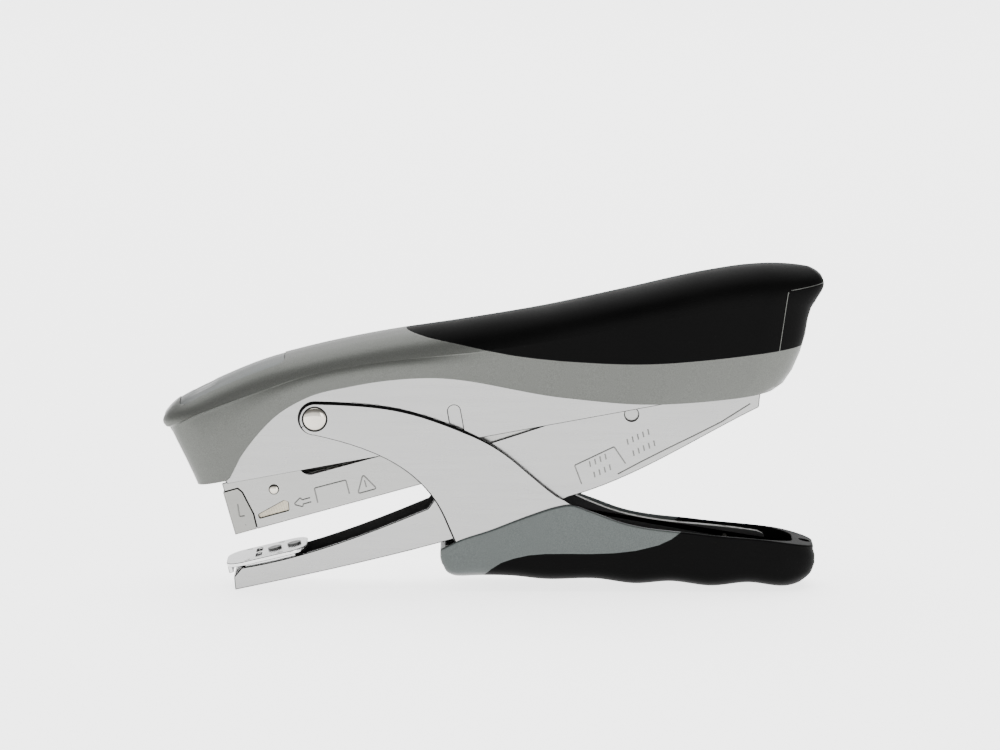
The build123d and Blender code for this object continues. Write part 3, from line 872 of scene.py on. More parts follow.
@dataclass
class CoverSet:
    """The silver cover with its inlay and its soft grip, lofted as one skin and then parted."""

    finishes: Finishes
    wall: float = 1.15
    seam_ease: float = 0.2
    inlay_sink: float = 0.22
    roll_power: float = 0.84
    ledge: float = 0.5
    ledge_growth: float = 1.3
    ledge_fade: Point = (-25.0, 6.0)
    ledge_run: float = 0.05
    crease_tilt: float = 22.0
    tilt_fade: Point = (-25.0, 35.0)
    nose_bulge: float = 2.1
    rear_bulge: float = 3.6
    nose_fall: float = 0.02
    side_shares: tuple[float, ...] = (0, 0.06, 0.2, 0.4, 0.6, 0.8, 0.93, 0.985)
    roll_steps: int = 16
    flat_steps: int = 4
    nose_steps: int = 10
    rear_steps: int = 12
    seam_half: float = 0.08
    inlay_gap: float = 0.16
    inlay_middle: float = -70.2
    inlay_half: Point = (14.2, 7.2)
    inlay_corner: float = 2.4
    inlay_above: float = 45.0
    dent: tuple[float, float, float] = (-80.6, -75.2, 0.5)
    dent_ease: float = 0.6
    dent_side: Point = (3.4, 4.4)
    grip_start: float = -24.5
    seam_line: tuple[Point, Point] = ((76.0, 60.0), (79.1, 82.2))
    shelf_line: tuple[Point, Point] = ((79.1, 82.2), (95.0, 84.4))
    stations: int = 150
    top: Profile = Profile((
        (-83.2, 52.4), (-72.4, 57.7), (-61.6, 62.1), (-50.8, 65.1), (-29.2, 69.7), (-7.6, 73.0),
        (14.0, 76.6), (35.6, 81.2), (57.2, 86.0), (68.0, 87.7), (76.0, 88.1), (84.2, 87.5),
    ))
    crease: Profile = Profile((
        (-88.0, 44.4), (-84.0, 46.6), (-73.7, 50.9), (-62.1, 55.2), (-50.8, 59.1), (-30.5, 63.1),
        (-18.1, 64.4), (-5.7, 65.7), (10.0, 68.0), (30.0, 71.6), (50.0, 75.6), (68.0, 78.2),
        (86.6, 78.3),
    ))
    arch: Profile = Profile((
        (-67.9, 36.9), (-59.4, 47.2), (-50.8, 52.8), (-38.0, 56.3), (-17.7, 58.6), (19.3, 53.4),
        (40.0, 51.7), (60.2, 52.6), (75.7, 54.5),
    ))
    arch_foot: Point = (-71.1, 30.5)
    nose_foot: Point = (-80.2, 28.7)
    rear: Profile = Profile((
        (54.5, 75.7), (56.0, 78.3), (60.4, 81.1), (65.9, 83.3), (70.9, 84.4), (76.2, 85.4),
        (78.3, 86.6),
    ))
    plan: Profile = Profile((
        (0.055, 10.6), (0.1, 10.8), (0.44, 11.3), (0.66, 12.0), (0.83, 12.22), (0.92, 11.2),
    ))
    nose_flat: float = 4.6
    rear_flat: float = 3.4
    grip_edge: Profile = Profile((
        (-24.5, 71.0), (-18.1, 69.4), (-9.9, 67.9), (6.7, 64.7), (23.2, 63.1), (41.3, 62.6),
        (57.8, 63.7), (83.4, 66.7), (95.0, 68.2),
    ))

    def lower_edge(self, x: float) -> float:
        """Height of the cover's lower edge: a short foot at the nose, then the arch."""
        foot = self.arch_foot
        if x <= foot[0]:
            rise = (foot[1] - self.nose_foot[1]) / (foot[0] - self.nose_foot[0])
            return foot[1] + (x - foot[0]) * rise
        first = self.arch.points[0]
        if x <= first[0]:
            return mix(foot[1], first[1], (x - foot[0]) / (first[0] - foot[0]))
        return self.arch(x)

    def trace(self) -> list[Point]:
        """Half of a ring in top view, from the nose's middle to the rear's middle.

        Returns:
            (share of the length, half width) for each station.
        """
        flat = self.flat_steps
        points = [(0.0, self.nose_flat * step / flat) for step in range(flat)]
        corner, width = self.plan.points[0]
        for step in range(self.nose_steps):
            angle = QUARTER * step / self.nose_steps
            points.append((
                corner * (1 - math.cos(angle)),
                mix(self.nose_flat, width, math.sin(angle)),
            ))
        end, end_width = self.plan.points[-1]
        for step in range(self.stations):
            along = mix(corner, end, step / self.stations)
            points.append((along, self.plan(along)))
        for step in range(self.rear_steps):
            angle = QUARTER * step / self.rear_steps
            points.append((
                mix(end, 1.0, math.sin(angle)),
                mix(self.rear_flat, end_width, math.cos(angle)),
            ))
        points.extend((1.0, self.rear_flat * (flat - step) / flat) for step in range(flat + 1))
        return points

    def side_row(self, share: float) -> list[Vector]:
        """Ring on the side wall, at a share of the height from the lower edge to the crease."""
        nose = mix(self.nose_foot[0], self.crease.points[0][0], share)
        rear_height = mix(self.rear.points[0][0], self.rear.points[-1][0], share)
        rear = self.rear(rear_height)
        half = []
        for along, width in self.trace():
            x = mix(nose, rear, along)
            z = mix(self.lower_edge(x), self.crease(x), share)
            step_in = self.ledge * (1 + self.ledge_growth * smooth_step(0.7, 1.0, share))
            step_in *= (1 - smooth_step(*self.ledge_fade, x)) * smooth_step(0.0, 1.0, width)
            sideways = smooth_step(0.0, self.ledge_run, along)
            half.append(Vector((x + step_in * (1 - sideways), width - step_in * sideways, z)))
        return whole_ring(half)

    def roll_row(self, angle: float) -> list[Vector]:
        """Ring on the rounded top, at an angle from the crease (0) to the spine (90 degrees)."""
        bulge = math.sin(2 * angle) * math.cos(angle)
        nose, rear = (
            mix(self.crease.points[end][0], self.top.points[end][0], 1 - math.cos(angle))
            for end in (0, -1)
        )
        nose -= self.nose_bulge * bulge
        rear += self.rear_bulge * bulge
        half = []
        for along, width in self.trace():
            x = mix(nose, rear, along)
            foot = self.crease(x)
            nose_drop = max(0.0, self.top.points[0][0] - x)
            top = self.top(x) - self.nose_fall * nose_drop**2
            tilt = math.radians(self.crease_tilt) * (1 - smooth_step(*self.tilt_fade, x))
            turn = tilt + angle * (1 - tilt / QUARTER)
            base = math.sin(tilt) ** self.roll_power if tilt else 0.0
            share = (math.sin(turn) ** self.roll_power - base) / (1 - base)
            narrow = max(0.0, math.cos(turn) / math.cos(tilt)) ** self.roll_power
            half.append(Vector((x, width * narrow, mix(foot, top, share))))
        return whole_ring(half)

    def skin(self) -> bmesh.types.BMesh:
        """Outer skin of the cover and its grip."""
        rows = [self.side_row(share) for share in self.side_shares]
        rows += [
            self.roll_row(math.radians(90 * step / self.roll_steps))
            for step in range(self.roll_steps + 1)
        ]
        shape = loft(rows)
        face_up(shape)
        return shape

    def in_grip(self, point: Vector) -> float:
        """Positive in the region of the soft grip."""
        return min(point.z - self.grip_edge(point.x), point.x - self.grip_start)

    def in_rear_panel(self, point: Vector) -> float:
        """Positive behind the seam of the grip."""
        (xa, za), (xb, zb) = self.seam_line
        seam = mix(xa, xb, (point.z - za) / (zb - za))
        (xa, za), (xb, zb) = self.shelf_line
        shelf = mix(za, zb, (point.x - xa) / (xb - xa))
        return min(point.x - seam, shelf - point.z)

    def in_inlay(self, point: Vector) -> float:
        """Positive in the panel let into the top of the nose, which has round corners."""
        radius = self.inlay_corner
        dx = max(abs(point.x - self.inlay_middle) - (self.inlay_half[0] - radius), 0.0)
        dy = max(abs(point.y) - (self.inlay_half[1] - radius), 0.0)
        return min(radius - math.hypot(dx, dy), point.z - self.inlay_above)

    def sink_inlay(self, part: bmesh.types.BMesh) -> None:
        """Lowers the inlay below the cover, and presses the shallow dent into it."""
        start, end, depth = self.dent
        for vert in part.verts:
            x, y = vert.co.x, abs(vert.co.y)
            inside = smooth_step(start - self.dent_ease, start + self.dent_ease, x)
            inside *= 1 - smooth_step(end - self.dent_ease, end + self.dent_ease, x)
            inside *= 1 - smooth_step(*self.dent_side, y)
            vert.co.z -= self.inlay_sink + depth * inside

    def build(self) -> None:
        """Makes the four pieces."""
        skin = self.skin()
        half = self.seam_half
        cut_along(skin, self.in_grip)
        cut_along(skin, self.in_inlay)
        cut_along(skin, lambda point: self.in_inlay(point) - self.inlay_gap)
        cut_along(skin, lambda point: self.in_rear_panel(point) - half)
        cut_along(skin, lambda point: self.in_rear_panel(point) + half)

        def of_cover(point: Vector) -> bool:
            seam = abs(self.in_rear_panel(point)) <= half
            return self.in_inlay(point) <= 0 and (seam or self.in_grip(point) <= 0)

        def of_grip(point: Vector) -> bool:
            return self.in_grip(point) > 0 and self.in_rear_panel(point) < -half

        def of_panel(point: Vector) -> bool:
            return self.in_grip(point) > 0 and self.in_rear_panel(point) > half

        def of_inlay(point: Vector) -> bool:
            return self.in_inlay(point) > self.inlay_gap

        plan = (
            ("cover_shell", of_cover, "silver_cover", self.finishes.cover, "top_cover"),
            ("nose_inlay", of_inlay, "silver_inlay", self.finishes.inlay, "top_inlay"),
            ("grip_skin", of_grip, "soft_grip", self.finishes.rubber, "top_grip"),
            ("grip_rear_panel", of_panel, "soft_grip", self.finishes.rubber, "rear_grip_panel"),
        )
        for name, keep, slot, finish, node in plan:
            part = part_of(skin, keep)
            if node == "top_inlay":
                self.sink_inlay(part)
            mesh = thickened(to_mesh(part, name), self.wall, self.seam_ease)
            place_piece(name, mesh, Body.UPPER, slot, [finish], [node], 40.0)
        skin.free()


# Lower handle ------------------------------------------------------------------------------


@dataclass
class HandleSet:
    """The grey trough and its soft skin, lofted as one solid and then parted."""

    finishes: Finishes
    half_width: float = 10.85
    inner: float = 9.95
    floor: float = 9.0
    rim_round: float = 0.42
    rim_ends: Point = (-14.25, 86.75)
    lip_round: float = 0.2
    bottom_round: float = 4.2
    bottom_power: float = 0.7
    side_shares: tuple[float, ...] = (0.55, 0.75, 0.9)
    cavity: Point = (-12.7, 81.0)
    zone_half: float = 15.0
    nose_flat: float = 0.78
    rear_flat: float = 0.3
    shoulder: float = 0.965
    straight: Point = (0.03, 0.88)
    full_width: Point = (0.35, 0.75)
    stations: int = 120
    rim: Profile = Profile((
        (-14.3, 11.4), (-10.8, 13.3), (-0.4, 17.0), (10.0, 21.0), (17.5, 23.4), (20.6, 23.9),
        (26.2, 22.2), (34.3, 19.2), (55.9, 15.9), (80.2, 13.1), (86.4, 11.7),
    ))
    keel: Profile = Profile((
        (-9.3, 2.9), (4.4, 3.1), (14.0, 2.2), (28.2, 2.3), (38.3, 1.0), (48.0, 1.6), (59.0, 0.35),
        (69.0, 1.25), (80.3, 0.14), (83.2, 0.6),
    ))
    nose: Profile = Profile(((2.9, -9.3), (4.6, -12.0), (7.2, -13.5), (11.4, -14.3)))
    rear: Profile = Profile((
        (0.02, 79.0), (1.0, 82.4), (3.0, 85.3), (6.0, 86.9), (9.0, 87.2), (11.7, 86.4),
    ))
    lanyard: Point = (84.4, 1.6)
    grip_edge: tuple[Point, ...] = (
        (-3.5, -8.0), (-3.5, 2.0), (-2.4, 4.2), (-0.4, 6.3), (2.2, 8.0), (5.6, 9.2), (9.6, 10.1),
        (14.0, 10.5), (20.0, 10.55), (26.5, 10.5), (32.6, 10.7), (38.6, 11.4), (44.6, 12.9),
        (48.2, 14.6), (50.6, 16.5), (52.6, 19.0), (52.6, 30.0), (95.0, 30.0), (95.0, -8.0),
    )

    def trace(self) -> list[Point]:
        """Half of a ring in top view: (share of the length, share of the half width)."""
        start, end = self.straight
        points = [(0.0, self.nose_flat * step / 4) for step in range(4)]
        for step in range(8):
            angle = QUARTER * step / 8
            wide = mix(self.nose_flat, self.shoulder, math.sin(angle))
            points.append((start * (1 - math.cos(angle)), wide))
        for step in range(self.stations):
            along = mix(start, end, step / self.stations)
            wide = mix(self.shoulder, 1.0, smooth_step(start, self.full_width[0], along))
            wide = mix(wide, self.shoulder, smooth_step(self.full_width[1], end, along))
            points.append((along, wide))
        for step in range(14):
            angle = QUARTER * step / 14
            wide = mix(self.rear_flat, self.shoulder, math.cos(angle))
            points.append((mix(end, 1.0, math.sin(angle)), wide))
        points.extend((1.0, self.rear_flat * (4 - step) / 4) for step in range(5))
        return points

    def ring(self, width: float, ends: Point, height: Callable[[float], float]) -> list[Vector]:
        """One ring of the handle.

        Args:
            width: half width.
            ends: nose and rear in X.
            height: height of the ring at an X.

        Returns:
            The ring's points.
        """
        half = []
        for along, wide in self.trace():
            x = mix(ends[0], ends[1], along)
            half.append(Vector((x, width * wide, height(x))))
        return whole_ring(half)

    def outer_ring(self, width: float, height: Callable[[float], float]) -> list[Vector]:
        """Ring of the outside, whose ends follow the outline at its height."""
        ends = (self.nose(height(-12.0)), self.rear(height(84.0)))
        return self.ring(width, ends, height)

    def keel_line(self, x: float) -> float:
        """Height of the lowest line, which stops sinking before the rear end."""
        return self.keel(min(x, 84.0))

    def rim_ring(self, width: float, drop: float, ends: Point) -> list[Vector]:
        """Ring that follows the rim."""
        return self.ring(width, ends, lambda x: self.rim(x) - drop)

    def solid(self) -> bmesh.types.BMesh:
        """The whole handle as one closed solid: bottom, sides, rim, lip and trough."""
        rows = []
        for step in range(9):
            angle = math.radians(90 * step / 8)
            rise = self.bottom_round * (1 - math.cos(angle))
            width = self.half_width * math.sin(angle) ** self.bottom_power
            rows.append(self.outer_ring(width, lambda x: self.keel_line(x) + rise))
        for share in self.side_shares:
            rows.append(self.outer_ring(
                self.half_width, lambda x: mix(self.keel_line(x), self.rim(x), share)
            ))
        front, back = self.rim_ends
        rows.append(self.rim_ring(self.half_width, self.rim_round * 1.2, self.rim_ends))
        for step in range(1, 5):
            angle = math.radians(90 * step / 4)
            inset = self.rim_round * (1 - math.cos(angle))
            drop = self.rim_round * (1 - math.sin(angle))
            rows.append(self.rim_ring(self.half_width - inset, drop, (front + inset, back - inset)))
        front, back = self.cavity
        for step in range(4):
            angle = math.radians(90 * step / 3)
            lip = self.lip_round * (1 - math.sin(angle))
            drop = self.lip_round * (1 - math.cos(angle))
            rows.append(self.rim_ring(self.inner + lip, drop, (front - lip, back + lip)))
        trough = ((self.inner, 1.0, 0.0), (self.inner - 0.8, 0.0, 0.8), (0.0, 0.0, 8.0))
        for width, rise, inset in trough:
            level = self.floor + rise
            rows.append(self.ring(
                width, (front + inset, back - inset), lambda x: min(level, self.rim(x) - 1.0)
            ))
        return loft(rows)

    def zone(self) -> bpy.types.Object:
        """Prism over the region of the soft skin."""
        prism = bmesh.new()
        add_prism(prism, self.grip_edge, (-self.zone_half, self.zone_half))
        return cutter(prism, "zone")

    def build(self) -> None:
        """Makes the two pieces."""
        whole = to_mesh(self.solid(), "handle")
        centre, radius = self.lanyard
        drill = bmesh.new()
        bmesh.ops.create_cone(
            drill, cap_ends=True, segments=40, radius1=radius, radius2=radius, depth=60.0,
            matrix=Matrix.Translation((centre, 0.0, 5.0)),
        )
        drill_tool = cutter(drill, "drill")
        drilled = carved(whole, drill_tool, "DIFFERENCE")
        zone = self.zone()
        plan = (
            ("handle_trough", "DIFFERENCE", "grey_handle", self.finishes.handle, "handle_shell"),
            ("handle_skin", "INTERSECT", "soft_grip", self.finishes.rubber, "handle_grip"),
        )
        for name, operation, slot, finish, node in plan:
            mesh = carved(drilled.copy(), zone, operation)
            place_piece(name, mesh, Body.LEVER, slot, [finish], [node], 38.0)
        for tool in (drill_tool, zone):
            bpy.data.objects.remove(tool)


# Sheet metal -------------------------------------------------------------------------------


@dataclass(frozen=True)
class SheetPiece:
    """A folded or stamped piece that keeps its CAD shape and gets eased edges.

    Its edges are rounded by ease; where the edge flag is set the rounding is near black, painted
    shade and dark reflection along the edges.  Inside faces nearer to the middle than the given
    distance are near black, painted shade.  A fold is the wide round of a lever plate's outer top
    edge.
    """

    node: str
    name: str
    body: Body
    slot: str
    finish: str
    ease: float = 0.15
    edge_shade: bool = True
    shade_within: float = 0.0
    fold: float = 0.0


SHEET_PIECES = (
    SheetPiece("lower_jaw", "jaw_channel", Body.JAW, "plated_steel", "arm", 0.26, True, 7.3),
    SheetPiece("anvil_plate", "anvil", Body.JAW, "anvil_steel", "anvil", 0.16),
    SheetPiece("upper_frame", "frame_channel", Body.UPPER, "plated_steel", "sheet",
               0.24, True, 8.2),
    SheetPiece("driver_blade", "blade", Body.UPPER, "dark_steel", "dark", 0.08, False),
    SheetPiece("hammer_block", "hammer", Body.UPPER, "dark_steel", "dark", 0.3, False),
    SheetPiece("lever_plate_left", "lever_near", Body.LEVER, "plated_steel", "sheet",
               0.22, True, 9.2, 0.76),
    SheetPiece("lever_plate_right", "lever_far", Body.LEVER, "plated_steel", "sheet",
               0.22, True, 9.2, 0.76),
    SheetPiece("magazine_case", "case", Body.MAGAZINE, "magazine_steel", "case", 0.22),
    SheetPiece("magazine_front_plate", "case_front", Body.MAGAZINE, "magazine_steel", "flap", 0.16),
    SheetPiece("staple_rail", "rail", Body.MAGAZINE, "magazine_steel", "case", 0.1, False),
    SheetPiece("magazine_end_cap", "case_end", Body.MAGAZINE, "dark_steel", "dark", 0.3, False),
    SheetPiece("follower", "pusher", Body.FOLLOWER, "follower_plastic", "follower", 0.25, False),
)


@dataclass
class SheetMetal:
    """Every piece that is made from its CAD node's own shape."""

    finishes: Finishes
    fold_side: Vector = Vector((-0.35, 0.0, 0.94))
    fold_end: Point = (-14.0, 6.0)
    plate_middle: float = 9.5
    lit_edge_from: float = 19.0
    lit_edge_round: float = 0.5
    sharp: float = 35.0

    def build(self) -> None:
        """Makes the pieces of the list."""
        for piece in SHEET_PIECES:
            shape = merged_copy(piece.node)
            if piece.fold:
                self.weigh(shape, piece)
            mesh = to_mesh(shape, piece.name)
            # Slots after the piece's finish: painted edge shade, painted inside shade, painted edge
            # light.
            finishes = [getattr(self.finishes, piece.finish), self.finishes.edge,
                        self.finishes.inside_shade, self.finishes.edge_light]
            for finish in finishes:
                mesh.materials.append(finish)
            # Slot 1 makes the rounding near black: painted shade and dark reflection.
            edge = 1 if piece.edge_shade else -1
            segments = 3 if piece.fold else 2
            mesh = eased(mesh, piece.fold or piece.ease, segments, self.sharp, edge,
                         not piece.edge_shade)
            if piece.shade_within:
                self.paint_shade_and_light(mesh, piece)
            place_piece(piece.name, mesh, piece.body, piece.slot, finishes, [piece.node])

    def weigh(self, shape: bmesh.types.BMesh, piece: SheetPiece) -> None:
        """Gives a lever plate's outer top edge its wide round, and its other edges a small one.

        Args:
            shape: the plate in millimetres.
            piece: its row of the list.
        """
        weight = shape.edges.layers.float.new(WEIGHTS)
        small = piece.ease / piece.fold
        for edge in shape.edges:
            if len(edge.link_faces) != 2 or edge.calc_face_angle() < math.radians(self.sharp):
                continue
            rim = min(edge.link_faces, key=lambda face: abs(face.normal.y))
            middle = (edge.verts[0].co + edge.verts[1].co) / 2
            wide = 1.0 if abs(middle.y) > self.plate_middle else 0.0
            share = smooth_step(-0.9, 0.9, rim.normal.dot(self.fold_side))
            share *= 1 - smooth_step(*self.fold_end, middle.x)
            edge[weight] = mix(small, wide, share)
            # Upward edges in the trough get a narrow round, which is later painted light grey as
            # light.
            if middle.x > self.lit_edge_from and rim.normal.z > 0.1:
                edge[weight] = (1.0 - wide) * self.lit_edge_round / piece.fold

    def paint_shade_and_light(self, mesh: bpy.types.Mesh, piece: SheetPiece) -> None:
        """Paints shade on the inside of a channel as near black, and paints light on a lever
        plate's upward edges in the trough as light grey.

        Args:
            mesh: the channel or the plate in metres.
            piece: its row of the list.
        """
        for face in mesh.polygons:
            inward = face.center.y * face.normal.y < -0.1 * abs(face.center.y)
            upward = face.normal.z > 0.3 and not piece.fold
            # Inward faces near the middle become near black: painted shade.
            if abs(face.center.y) < piece.shade_within * MM and (inward or upward):
                face.material_index = 2
            # Upward faces of a lever plate in the trough become light grey: painted light.
            elif piece.fold and face.center.x > self.lit_edge_from * MM and face.normal.z > 0.1:
                face.material_index = 3


# Pins and rivets ---------------------------------------------------------------------------


@dataclass(frozen=True)
class Pin:
    """A turned piece across the tool, with chamfered or domed ends."""

    node: str
    name: str
    body: Body
    slot: str
    finish: str
    centres: tuple[Point, ...]
    radius: float
    half_length: float
    chamfer: float = 0.25
    gap: float = 0.0

    def outlines(self) -> list[list[Point]]:
        """Turned outlines: one for a through pin, two for a pair of studs."""
        c, r, far = self.chamfer, self.radius, self.half_length
        outer = [(far - c, r), (far - c * 0.4, r - c * 0.4), (far, r - c * 1.3), (far, 0.0)]
        if self.gap:
            near = [(self.gap, 0.0), (self.gap, r)]
            return [near + outer, [(-across, radius) for across, radius in near + outer]]
        mirrored = [(-across, radius) for across, radius in outer[::-1]]
        return [mirrored + outer]


@dataclass
class Fasteners:
    """Rivets, pins and studs."""

    finishes: Finishes
    rivet_centre: Point = (-47.9, 47.4)
    rivet_shank: float = 1.5
    rivet_head: float = 3.1
    head_height: float = 1.1
    head_rim: float = 0.18
    head_points: int = 72
    plate_out: float = 9.9
    # Outline and drop of the near-black ring under each rivet head: a painted shadow.
    shadow_ring: tuple[Point, ...] = ((9.86, 1.7), (9.86, 3.5), (9.98, 3.45), (9.98, 1.7), (9.86, 1.7))
    shadow_ring_drop: float = 0.12
    lug: tuple[Point, Point] = ((-9.0, 41.0), (-10.5, 49.3))
    lug_radius: float = 3.2
    lug_faces: Point = (8.02, 8.12)

    def pins(self) -> tuple[Pin, ...]:
        """The plain pins, with their places."""
        return (
            Pin("spring_pin", "coil_pin", Body.JAW, "rivet_steel", "rivet",
                ((-2.0, 25.0),), 1.5, 8.0),
            Pin("rear_pivot_rivets", "rear_pivots", Body.JAW, "rivet_steel", "rivet",
                ((63.0, 58.0),), 2.0, 9.05, 0.3, 6.35),
            Pin("magazine_pin", "nose_pin", Body.MAGAZINE, "rivet_steel", "rivet",
                (self.from_magazine(13.5, 9.3),), 1.2, 7.7, 0.35),
            Pin("handle_tie_rivets", "tie_rivets", Body.LEVER, "rivet_steel", "rivet",
                ((6.0, 11.2), (63.0, 11.2)), 1.3, 9.1),
            Pin("lever_pivot_studs", "pivot_studs", Body.LEVER, "rivet_steel", "rivet",
                ((-9.0, 41.0),), 1.4, 9.1, 0.1, 7.2),
            Pin("hammer_rivets", "hammer_pins", Body.UPPER, "rivet_steel", "rivet",
                (self.from_magazine(5.5, 27.4), self.from_magazine(9.3, 27.4)), 1.0, 9.15),
        )

    @staticmethod
    def from_magazine(along: float, up: float) -> Point:
        """Side-view place of a point given along and above the magazine's floor."""
        slope = math.radians(MAGAZINE_SLOPE)
        return (
            MAGAZINE_CORNER[0] + along * math.cos(slope) - up * math.sin(slope),
            MAGAZINE_CORNER[1] + along * math.sin(slope) + up * math.cos(slope),
        )

    def head(self) -> list[Point]:
        """Outline of a domed head, from its rim to its middle."""
        points = [(self.plate_out, self.rivet_head - 0.35), (self.plate_out, self.rivet_head)]
        dome = self.head_height - self.head_rim
        for step in range(1, 11):
            angle = QUARTER * step / 10
            points.append((
                self.plate_out + self.head_rim + dome * math.sin(angle),
                self.rivet_head * math.cos(angle) ** 0.9,
            ))
        return points

    def build_front_rivet(self) -> None:
        """Makes the through rivet with its two heads."""
        head = self.head()
        half = [(self.plate_out, self.rivet_shank)] + head
        outline = [(-across, radius) for across, radius in half[::-1]] + half
        mesh = to_mesh(lathe(outline, self.rivet_centre, self.head_points), "front_rivet_turned")
        place_piece("front_rivet_turned", mesh, Body.LEVER, "rivet_steel", [self.finishes.rivet],
                    ["front_rivet"], 50.0)

    def build_shadow_rings(self) -> None:
        """Makes a near-black ring under each head of the front rivet, set a little low: a painted
        shadow.
        """
        x, z = self.rivet_centre
        whole = gathered([
            lathe([(side.value * across, radius) for across, radius in self.shadow_ring],
                  (x, z - self.shadow_ring_drop), self.head_points)
            for side in Side
        ])
        bmesh.ops.recalc_face_normals(whole, faces=whole.faces)
        mesh = to_mesh(whole, "rivet_shadow_rings")
        place_piece("rivet_shadow_rings", mesh, Body.LEVER, "dark_steel", [self.finishes.edge])

    def build_lugs(self) -> None:
        """Makes the thin slide plates behind the frame's slots for the lever's studs."""
        (xa, za), (xb, zb) = self.lug
        heading = math.atan2(zb - za, xb - xa)
        outline = []
        for (x, z), start in ((self.lug[1], heading - QUARTER), (self.lug[0], heading + QUARTER)):
            for step in range(33):
                angle = start + math.pi * step / 32
                outline.append((
                    x + self.lug_radius * math.cos(angle), z + self.lug_radius * math.sin(angle)
                ))
        whole = bmesh.new()
        for side in Side:
            add_prism(whole, outline, tuple(side.value * across for across in self.lug_faces))
        bmesh.ops.recalc_face_normals(whole, faces=whole.faces)
        mesh = to_mesh(whole, "slide_plates")
        place_piece("slide_plates", mesh, Body.JAW, "plated_steel", [self.finishes.sheet])

    def build(self) -> None:
        """Makes every fastener."""
        self.build_front_rivet()
        self.build_shadow_rings()
        self.build_lugs()
        for pin in self.pins():
            whole = gathered([
                lathe(outline, centre, 40) for centre in pin.centres for outline in pin.outlines()
            ])
            mesh = to_mesh(whole, pin.name)
            finish = getattr(self.finishes, pin.finish)
            place_piece(pin.name, mesh, pin.body, pin.slot, [finish], [pin.node])
        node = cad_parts["anvil_rivets"]
        node.data.materials.clear()
        node.data.materials.append(self.finishes.dark)


# Magazine ----------------------------------------------------------------------------------


def magazine_place(along: float = 0.0, across: float = 0.0, up: float = 0.0) -> Matrix:
    """Place in the magazine's own frame: X along its floor, Y across and Z up, in metres."""
    x, z = Fasteners.from_magazine(along, up)
    return Matrix.Translation((x * MM, across * MM, z * MM)) @ Matrix.Rotation(
        -math.radians(MAGAZINE_SLOPE), 4, "Y"
    )


@dataclass
class MagazineInside:
    """Staples, rod and springs inside the magazine."""

    finishes: Finishes
    strip: Point = (2.95, 51.0)
    pitch: float = 0.696
    half_width: float = 6.0
    wire: float = 0.66
    leg: Point = (0.8, 6.65)
    rod: Point = (18.0, 144.4)
    rod_up: float = 8.9
    rod_radius: float = 0.9
    spring: Point = (63.2, 143.7)
    spring_radius: float = 1.35
    spring_wire: float = 0.24
    spring_turns: float = 42.0
    travel: float = 45.0

    def build_staples(self) -> None:
        """Makes the strip, staple by staple."""
        low, high = self.leg
        w = self.half_width
        line = [Vector((0, y, z)) for y, z in ((-w, low), (-w, high), (w, high), (w, low))]
        count = int((self.strip[1] - self.strip[0]) / self.pitch)
        mesh = staple_tree().grow(
            line_mesh([line]), self.finishes.staple, Count=count, Pitch=self.pitch * MM,
            Wire=self.wire * MM, Corner=0.7 * MM,
        )
        mesh.transform(magazine_place(self.strip[0] + self.wire / 2))
        place_piece("staples", mesh, Body.MAGAZINE, "staple_steel", [self.finishes.staple],
                    ["staple_strip"])

    def build_rod(self) -> None:
        """Makes the rod that carries the spring."""
        shape = bmesh.new()
        start, end = self.rod
        bmesh.ops.create_cone(
            shape, cap_ends=True, segments=24, radius1=self.rod_radius, radius2=self.rod_radius,
            depth=end - start, matrix=Matrix.Rotation(QUARTER, 4, "Y"),
        )
        mesh = to_mesh(shape, "spring_rod")
        mesh.transform(magazine_place((start + end) / 2, 0.0, self.rod_up))
        mesh = eased(mesh, 0.2, 2)
        place_piece("spring_rod", mesh, Body.MAGAZINE, "rivet_steel", [self.finishes.spring],
                    ["guide_rod"])

    def build_spring(self, coil: NodeTree) -> None:
        """Makes the spring that pushes the follower."""
        start, end = self.spring
        mesh = coil.grow(
            bpy.data.meshes.new("empty"), self.finishes.spring, Turns=self.spring_turns,
            Radius=self.spring_radius * MM, Length=(end - start) * MM, Wire=self.spring_wire * MM,
        )
        mesh.transform(Matrix.Rotation(QUARTER, 4, "Y"))
        mesh.transform(magazine_place(start, 0.0, self.rod_up))
        piece = place_piece("push_spring", mesh, Body.MAGAZINE, "spring_steel",
                            [self.finishes.spring], ["follower_spring"])
        anchor = magazine_place(end, 0.0, self.rod_up)
        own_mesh(piece)

    def build(self, coil: NodeTree) -> None:
        """Makes everything inside the magazine."""
        self.build_staples()
        self.build_rod()
        self.build_spring(coil)


